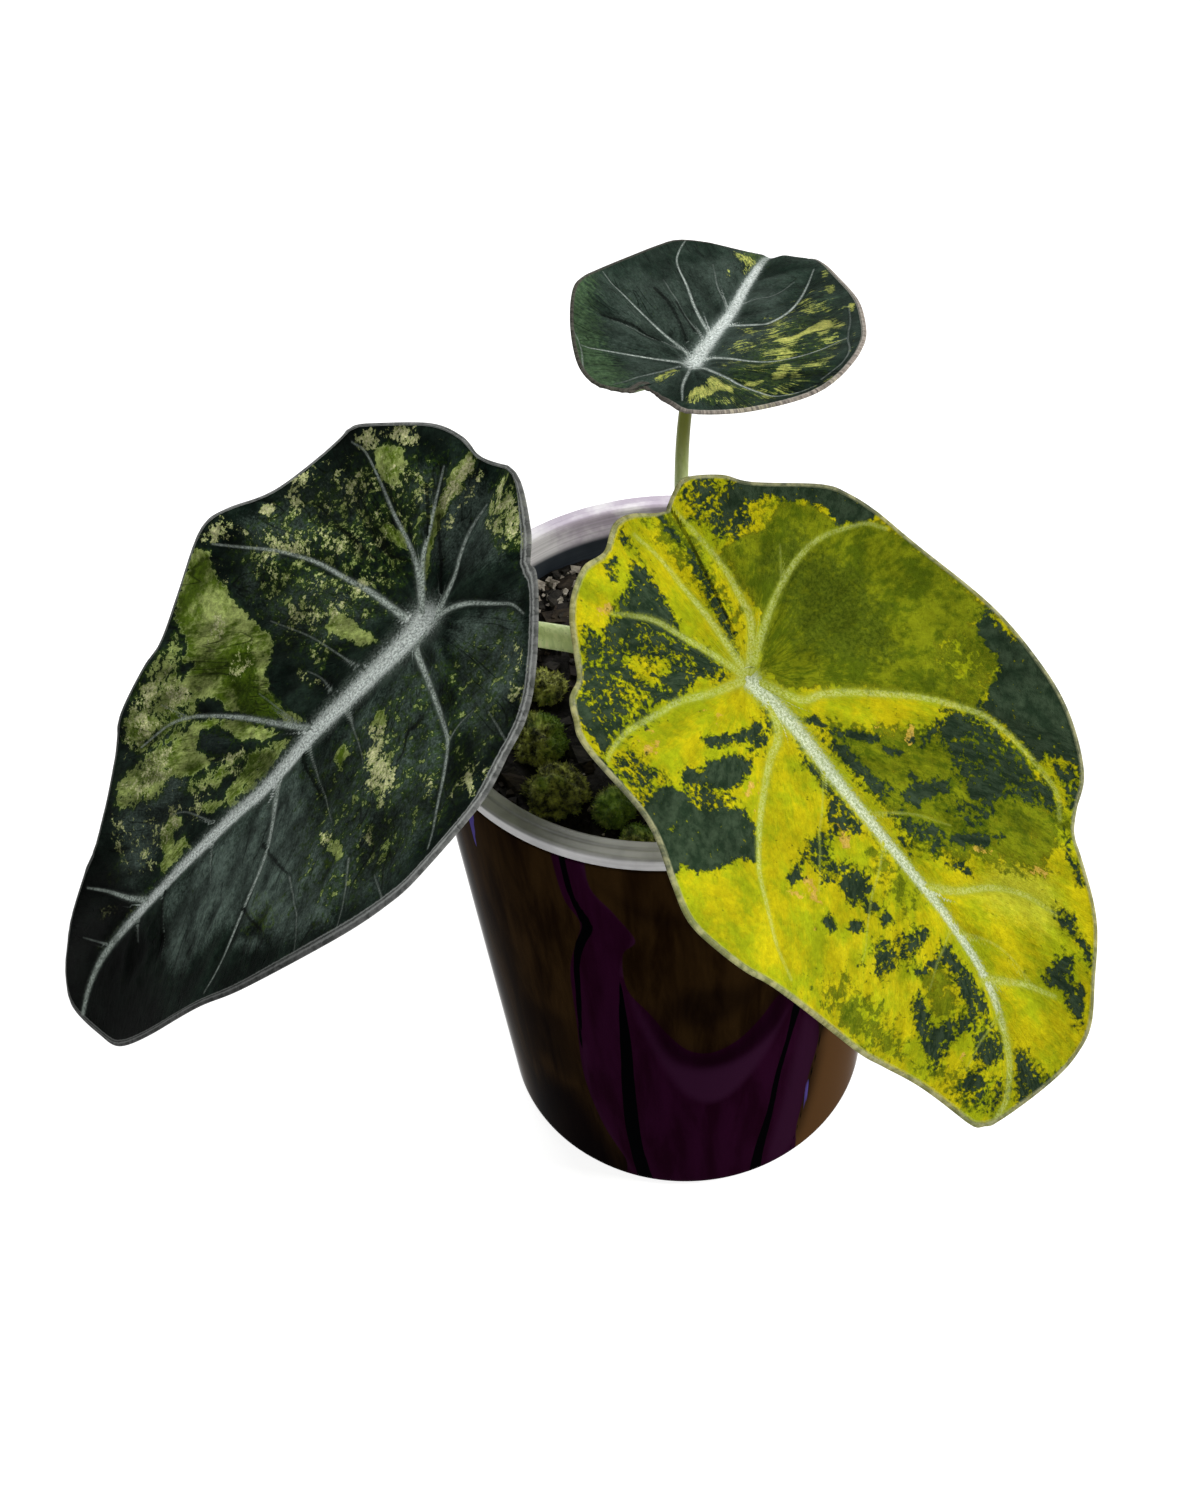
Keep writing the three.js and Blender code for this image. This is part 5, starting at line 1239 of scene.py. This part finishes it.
PETIOLES = {
    "left": ([(0.7, 1, 131.1), (-3, -1, 145), (-24, -6, 155.5), (-46.1, -9.1, 166)], (3.3, 2.6, 2.3), LEFT),
    "right": ([(7.2, -1.8, 131.1), (8, -5, 146), (11, -18, 156), (13.9, -30.8, 163)], (3.3, 2.6, 2.2), RIGHT),
    "back": ([(7.2, 5.8, 131.1), (5.1, 11, 150), (4.9, 19, 178), (10.1, 23.3, 193)], (3.3, 1.42, 1.2), BACK),
}
PETIOLE_ROWS = 70
PETIOLE_SIDES = 32
PETIOLE_GAP = 0.15
LAST_STEP = 0.4
FLARE = 0.2
FLARE_LENGTH = 1.6
stalk = petiole_look()
for side, (route, radii, b) in PETIOLES.items():
    t = np.linspace(0, 1, PETIOLE_ROWS)
    centres, along = bezier(route, t)
    spine = blade_spine(b)
    origin = np.zeros(1)
    up = blade_normal(b, spine, origin, origin)[0]
    seat = blade_sheet(b, spine, origin, origin)[0] - up * (b["dip"][0] + BLADE_THICKNESS + PETIOLE_GAP)
    reach = (seat - centres) @ up
    keep = reach > LAST_STEP
    centres = np.vstack([centres[keep], seat])
    along = unit(np.vstack([along[keep], along[keep][-1] * 0.3 + up * 0.7]))
    radii = np.interp(np.append(t[keep], 1), [0, 0.5, 1], radii)
    flare = np.exp(-np.append(reach[keep], 0) / FLARE_LENGTH)
    made = tube(f"stalk_{side}", centres, along, radii * (1 + FLARE * flare), PETIOLE_SIDES, stalk)
    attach(made, "root")
    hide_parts(f"petiole_{side}")

# Painted reflections and highlights on the glossy pot, as colour fields: the same kinds of entry as for
# the tissue, in degrees round from the front and millimetres up. The back mirrors the front.
POT_REFLECTIONS = [
    ("plum", 1, 2, [(-31.5, 140), (-31, 120), (-27.5, 112), (-29, 105), (-32.5, 92), (-33.5, 70),
        (-34.5, 45), (-31, 25), (-25, 10), (-21, -5), (26, -5), (31, 15), (34, 35), (37, 50), (35, 60),
        (28, 72), (22, 80), (16, 73), (10, 67), (3, 64), (-3, 66), (-8, 73), (-12, 81), (-17, 90),
        (-17, 103), (-13.5, 109), (-18, 118), (-23, 126), (-24, 140)]),
    ("violet", 1, 3, [(-17, 88), (-14, 72), (-9, 55), (-4, 45), (2, 41), (8, 43), (14, 50), (20, 60),
        (25, 73), (20, 66), (12, 60), (3, 58), (-5, 60), (-10, 68), (-14, 80)]),
    ("violet", 0.6, 1, [(-25.5, 140), (-23.5, 125), (-18, 117), (-15, 110), (-18, 101), (-19, 95),
        (-17, 95), (-15.5, 103), (-13, 110), (-17, 119), (-22, 127), (-23, 140)]),
    ("violet", 0.2, 3, [(20, 5), (29, 5), (34, 30), (37, 52), (30, 66), (27, 50), (24, 30)]),
    ("violet", 0.1, 2, [(-33.5, 60), (-31, 60), (-32, 40), (-27, 20), (-22, 5), (-25, 5), (-32, 28),
        (-34.5, 45)]),
    ("dusk", 1, 4, [(-12, 82), (-8, 72), (-3, 66), (3, 63), (10, 66), (16, 72), (23, 82), (22, 68),
        (12, 60), (3, 57), (-5, 60), (-10, 67)]),
    ("ink", 1, 1, [(-30, 140), (-29.5, 124), (-27.5, 114), (-27, 110), (-29.5, 103), (-31, 95), (-32, 82),
        (-33.5, 62), (-34, 48), (-32.8, 60), (-30.5, 80), (-29, 95), (-26.5, 104), (-24, 110),
        (-24.5, 114), (-27.5, 122), (-28.5, 140)]),
    ("ink", 1, 1, [(-18.8, 94), (-20.3, 80), (-21.5, 62), (-23, 40), (-23, 20), (-20.5, -5), (-16, -5),
        (-18.5, 20), (-18.5, 45), (-18, 65), (-18.3, 80)]),
    ("ink", 1, 1, [(29.5, 74), (26.5, 74), (24.5, 60), (21.5, 45), (19.5, 30), (15.5, 12), (13.5, -5),
        (17, -5), (19, 12), (21.5, 28), (23.5, 45), (26.5, 60)]),
    ("ink", 0.4, 1, [(37, 54), (38.5, 54), (36, 38), (34, 28), (32, 15), (27, -5), (26, -5), (31, 15),
        (33, 30), (35.5, 42)]),
    ("soot", 0.9, 9, [(-66, -5), (-60, 22), (-50, 34), (-38, 38), (-33, 28), (-24, 6), (-20, -5)]),
    ("soot", 0.3, 6, [(-52, 60), (-44, 70), (-36, 66), (-35, 44), (-44, 36)]),
    ("soot", 0.2, 5, [(-8, 86), (0, 92), (14, 88), (14, 80), (2, 74), (-6, 78)]),
    ("soot", 0.1, 5, [(-22, 128), (-12, 122), (2, 116), (2, 112), (-12, 116), (-18, 122)]),
    ("amber", 0.7, 7, [(37, 50), (36, 38), (34, 25), (31, 12), (28, -5), (75, -5), (80, 30), (80, 60),
        (60, 70), (45, 60)]),
    ("amber", -0.45, 8, [(-78, -5), (-80, 55), (-68, 50), (-62, 25), (-60, -5)]),
    ("amber", -0.55, 7, [(-70, 125), (-58, 130), (-58, 100), (-68, 90)]),
    ("glint", 1, 0.6, [(-57.5, 133), (-55, 133), (-56.6, 124), (-58.3, 116), (-58.6, 124)]),
    ("glint", 0.3, 0.8, [(33, 34), (34.4, 33), (34.3, 24), (33, 18), (32.6, 26)]),
]
POT_PROFILE = [
    (41.4, 0), (43.15, 0.75), (43.9, 2.5), (49.6, 132.9), (49, 133.5), (48, 133.5), (47.6, 133.1), (41.1, 3),
]
CUP_PROFILE = [
    (40.1, 10), (40.6, 10.5), (46.3, 132.8), (46.5, 133.8), (49.5, 133.8), (50, 134.3), (50.3, 137.4),
    (49.8, 137.9), (48.1, 137.9), (47.8, 138.4), (46.4, 138.4), (45.9, 137.9), (45.3, 132.8), (39.6, 11),
]
REFLECTING_WALL = 2
CREASE_BEVEL = 0.00025


def turned(name, profile, sides, look, reflections=(), wall_rows=1):
    """A profile turned about the axis; the wall with painted reflections gets its own rows and colour fields
    """
    rings = []
    for k, (r, z) in enumerate(profile):
        rings.append((r, z))
        if k == REFLECTING_WALL and reflections:
            wide, high = profile[k + 1][0] - r, profile[k + 1][1] - z
            rings += [(r + wide * i / wall_rows, z + high * i / wall_rows) for i in range(1, wall_rows)]
    angles = 2 * np.pi * np.arange(sides) / sides
    circle = np.stack([np.cos(angles), np.sin(angles)], -1)
    points = np.vstack([np.hstack([circle * r, np.full((sides, 1), z)]) for r, z in rings])
    fields = {}
    if reflections:
        turn = np.degrees(np.arctan2(points[:, 0], -points[:, 1]))
        turn = np.where(np.abs(turn) > 90, 180 * np.sign(turn) - turn, turn)
        kinds = sorted({kind for kind, *_ in reflections})
        fields = sector_fields(reflections, kinds, turn, points[:, 2], rounded=True)
    made = new_object(name, points, capped(len(rings), sides), [look], fields)
    creases = made.modifiers.new("bevel", "BEVEL")
    creases.width = CREASE_BEVEL
    creases.segments = 3
    creases.limit_method = "ANGLE"
    creases.angle_limit = math.radians(25)
    creases.harden_normals = True
    return made


pot = turned("cover_pot", POT_PROFILE, 360, pot_look(), POT_REFLECTIONS, 110)
cup = turned("frosted_cup", CUP_PROFILE, 180, cup_look())
for made, node in ((pot, "outer_pot"), (cup, "inner_cup")):
    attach(made, "root")
    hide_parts(node)

# Potting mix: the CAD's solid takes a soil finish, and a finer rough top, chips and moss lie on it.
# A moss cushion is its place, radius and height.
SOIL_LEVEL = 126.0
SOIL_SUNK = 0.2
CROWN = (5, 2)
HOLE_RADIUS = 8.6
WALL_RADIUS = 44.6
CHIPS_BEYOND = 9
CHIPS_WITHIN = 44.5
MOSS = [
    (-24.7, 5.7, 4.6, 5.5), (-27, -8.6, 6, 6.5), (-24.5, -22.5, 6.8, 7.5), (-13, -27, 4.6, 5.5),
    (-9.5, -35.8, 4.2, 4.5), (20, -27, 6.2, 5.5), (27, 14, 5.4, 4.8),
]
soil = soil_look()
for node, look in (("potting_mix", soil), ("crown", crown_look())):
    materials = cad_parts[node].data.materials
    materials.clear()
    materials.append(look)


def soil_plane(x, y):
    return SOIL_LEVEL - 0.03 * x + 0.045 * y


def soil_height(x, y):
    clods = soil_plane(x, y) + 0.55 * lumps(x + 90, y + 90, 5, 21) + 0.5 * lumps(x + 90, y + 90, 1.9, 22)
    return clods - SOIL_SUNK


def rough_top():
    """Rough upper face of the mix, from the crown's hole to the cup's wall, with a skirt at both"""
    sectors, rings = 200, 60
    a = 2 * np.pi * np.arange(sectors) / sectors
    radii = np.linspace(HOLE_RADIUS, WALL_RADIUS, rings)
    shift = 1 - (radii - HOLE_RADIUS) / (WALL_RADIUS - HOLE_RADIUS)
    x = (CROWN[0] * shift[:, None] + radii[:, None] * np.cos(a)).ravel()
    y = (CROWN[1] * shift[:, None] + radii[:, None] * np.sin(a)).ravel()
    top = np.stack([x, y, soil_height(x, y)], -1)
    down = (0, 0, 3)
    ring, base = np.arange(sectors), len(top)
    faces = sleeve(rings, sectors) + quads(ring + base, ring)
    faces += quads(ring + base - sectors, ring + base + sectors)
    points = np.vstack([top, top[:sectors] - down, top[-sectors:] - down])
    return new_object("rough_mix", points, [f[::-1] for f in faces], [soil])


def chip(rng, size):
    """A small broken block: a cube with its corners moved"""
    corners = np.array([(i, j, k) for i in (-1, 1) for j in (-1, 1) for k in (-1, 1)], float)
    corners *= size * rng.uniform(0.35, 0.62, 3) * np.array([1, 0.75, 0.5])
    corners += rng.normal(0, 0.12 * size, corners.shape)
    turn = Matrix.Rotation(rng.uniform(0, 6.28), 3, "Z") @ Matrix.Rotation(rng.normal(0, 0.6), 3, "X")
    faces = [[0, 1, 3, 2], [4, 6, 7, 5], [0, 4, 5, 1], [2, 3, 7, 6], [0, 2, 6, 4], [1, 5, 7, 3]]
    return corners @ np.array(turn).T, faces


def scatter(name, count, sizes, seed, looks, sunk, spot=(0, 0, 44)):
    """Loose blocks on the mix within a round spot, clear of the wall, the crown and the moss"""
    rng = seeded(seed)
    points, faces, picks = [], [], []
    while len(points) < count:
        r, a = spot[2] * math.sqrt(rng.uniform(0.03, 1)), rng.uniform(0, 2 * math.pi)
        x, y = spot[0] + r * math.cos(a), spot[1] + r * math.sin(a)
        size = rng.uniform(*sizes)
        if math.hypot(x, y) + size > CHIPS_WITHIN:
            continue
        if math.hypot(x - CROWN[0], y - CROWN[1]) < CHIPS_BEYOND + size:
            continue
        if any(math.hypot(x - mx, y - my) < mr + 0.5 * size for mx, my, mr, _ in MOSS):
            continue
        shape, sides = chip(rng, size)
        start = 8 * len(points)
        z = soil_height(np.array([x]), np.array([y]))[0] + size * sunk
        points.append(shape + (x, y, z))
        faces += [[start + i for i in f] for f in sides]
        picks += [int(rng.integers(len(looks)))] * 6
    made = new_object(name, np.vstack(points), faces, looks, sharp=True)
    made.data.polygons.foreach_set("material_index", picks)
    worn = made.modifiers.new("worn", "BEVEL")
    worn.width = CREASE_BEVEL
    worn.segments = 2
    return made


bark = [
    chip_look("bark_dark", (0.003, 0.002, 0.0015), (0.014, 0.01, 0.007), 0.7),
    chip_look("bark_brown", (0.008, 0.005, 0.003), (0.035, 0.025, 0.015), 0.75),
    chip_look("bark_grey", (0.006, 0.0055, 0.005), (0.035, 0.031, 0.026), 0.85),
]
grit = chip_look("grit", (0.14, 0.12, 0.1), (0.36, 0.33, 0.28), 0.8)
loose = [
    rough_top(),
    scatter("bark_chips", 300, (1.6, 5), 31, bark, sunk=0.05),
    scatter("bark_crumbs", 500, (0.6, 1.6), 32, bark, sunk=0.25),
    scatter("grit_specks", 60, (0.4, 1), 33, [grit], sunk=0.3),
    scatter("pale_chips", 90, (0.6, 2.2), 34, [bark[2], grit], sunk=0.35, spot=(-19, 35, 10)),
]
for made in loose:
    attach(made, "root")

# Moss: a lumpy cushion covered with short leafy tips; their number is the density times the radius
# squared
TIP_DENSITY = 60
TIP_HALF_WIDTH = 0.14


def moss_clump(index, x, y, radius, height):
    rng = seeded(60 + index)
    sectors, rings = 72, 22
    a = 2 * np.pi * np.arange(sectors) / sectors
    base = soil_plane(x, y) - SOIL_SUNK
    points = []
    for j in range(rings + 1):
        t = j / rings
        lift = math.sin(t * math.pi / 2)
        reach = radius * 0.98 * math.cos(t * math.pi / 2) ** 0.8
        px, py = x + reach * np.cos(a) + 70, y + reach * np.sin(a) + 70
        swell = 1 + 0.26 * lumps(px, py, 2.6, 70 + index) + 0.1 * lumps(px, py + 9 * t, 1.1, 80 + index)
        wide = reach * 0.93 * np.minimum(swell, 1.08)
        z = base + (height - 1) * lift * swell
        points.append(np.stack([x + wide * np.cos(a), y + wide * np.sin(a), z], -1))
    body = np.vstack(points)
    faces = [*sleeve(rings + 1, sectors), list(range(sectors))[::-1]]
    tips = []
    for _ in range(int(TIP_DENSITY * radius**2)):
        lift, turn = rng.uniform(0.05, 1), rng.uniform(0, 2 * math.pi)
        ring = int(rings * math.asin(lift) / (math.pi / 2))
        root = body[ring * sectors + int(sectors * turn / (2 * math.pi))] + rng.normal(0, 0.1, 3)
        out = root - np.array([x, y, base - 0.5])
        out = out / np.linalg.norm(out) + rng.normal(0, 0.4, 3)
        side = np.cross(out, rng.normal(0, 1, 3))
        side = side / np.linalg.norm(side) * TIP_HALF_WIDTH
        start = len(body) + 3 * len(tips)
        tips.append(np.array([root - side, root + side, root + out * rng.uniform(0.3, 0.7)]))
        faces.append([start, start + 1, start + 2])
    return new_object(f"moss_cushion_{index}", np.vstack([body, *tips]), faces, [moss])


moss = moss_look()
for index, clump in enumerate(MOSS, start=1):
    made = moss_clump(index, *clump)
    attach(made, "root")
    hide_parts(f"moss_{index}")

# Camera of the photograph
ELEVATION = math.radians(49.29)
ROLL = math.radians(-5.79)
TARGET = Vector((-14.8, 0, 112.8))
DISTANCE = 409.6
SENSOR_WIDTH = 36
FOCAL_LENGTH = 46.44
ahead = Vector((0, math.cos(ELEVATION), -math.sin(ELEVATION)))
level = Vector((1, 0, 0))
upright = level.cross(ahead)
across = level * math.cos(ROLL) + upright * math.sin(ROLL)
upward = upright * math.cos(ROLL) - level * math.sin(ROLL)
camera = bpy.data.objects.new("camera", bpy.data.cameras.new("camera"))
bpy.context.scene.collection.objects.link(camera)
axes = Matrix((across, upward, -ahead)).transposed().to_4x4()
camera.matrix_world = Matrix.Translation((TARGET - ahead * DISTANCE) * MM) @ axes
camera.data.sensor_width = SENSOR_WIDTH
camera.data.lens = FOCAL_LENGTH
bpy.context.scene.camera = camera

# Floor and light
FLOOR = 6.0
corners = [(-FLOOR, -FLOOR, 0), (FLOOR, -FLOOR, 0), (FLOOR, FLOOR, 0), (-FLOOR, FLOOR, 0)]
floor_mesh = bpy.data.meshes.new("floor")
floor_mesh.from_pydata(corners, [], [(0, 1, 2, 3)])
floor = bpy.data.objects.new("floor", floor_mesh)
bpy.context.scene.collection.objects.link(floor)
paper = Look("floor")
paper.set(Base_Color=(0.4, 0.4, 0.4), Roughness=0.9, Specular_IOR_Level=0.02, Emission_Color=(1, 1, 1),
          Emission_Strength=0.85)
floor_mesh.materials.append(paper.material)


def area_light(name, place, aim, size, power, colour=(1, 1, 1)):
    lamp = bpy.data.lights.new(name, "AREA")
    lamp.size = size
    lamp.energy = power
    lamp.color = colour
    made = bpy.data.objects.new(name, lamp)
    made.location = place
    made.rotation_mode = "QUATERNION"
    made.rotation_quaternion = (Vector(aim) - Vector(place)).to_track_quat("-Z", "Y")
    bpy.context.scene.collection.objects.link(made)


area_light("key", (1.3, -0.25, 1.25), (0, 0, 0.14), 0.6, 31, (1, 0.985, 0.95))
area_light("fill", (-1.2, -1.2, 1.2), (0, 0, 0.12), 1.4, 4)
area_light("rim", (-0.35, 1.2, 1.4), (0, 0, 0.14), 0.8, 15)
world = bpy.data.worlds.new("world")
world.use_nodes = True
background = world.node_tree.nodes["Background"]
background.inputs["Color"].default_value = (1, 1, 1, 1)
background.inputs["Strength"].default_value = 0.32
bpy.context.scene.world = world
bpy.context.scene.view_settings.view_transform = "Standard"
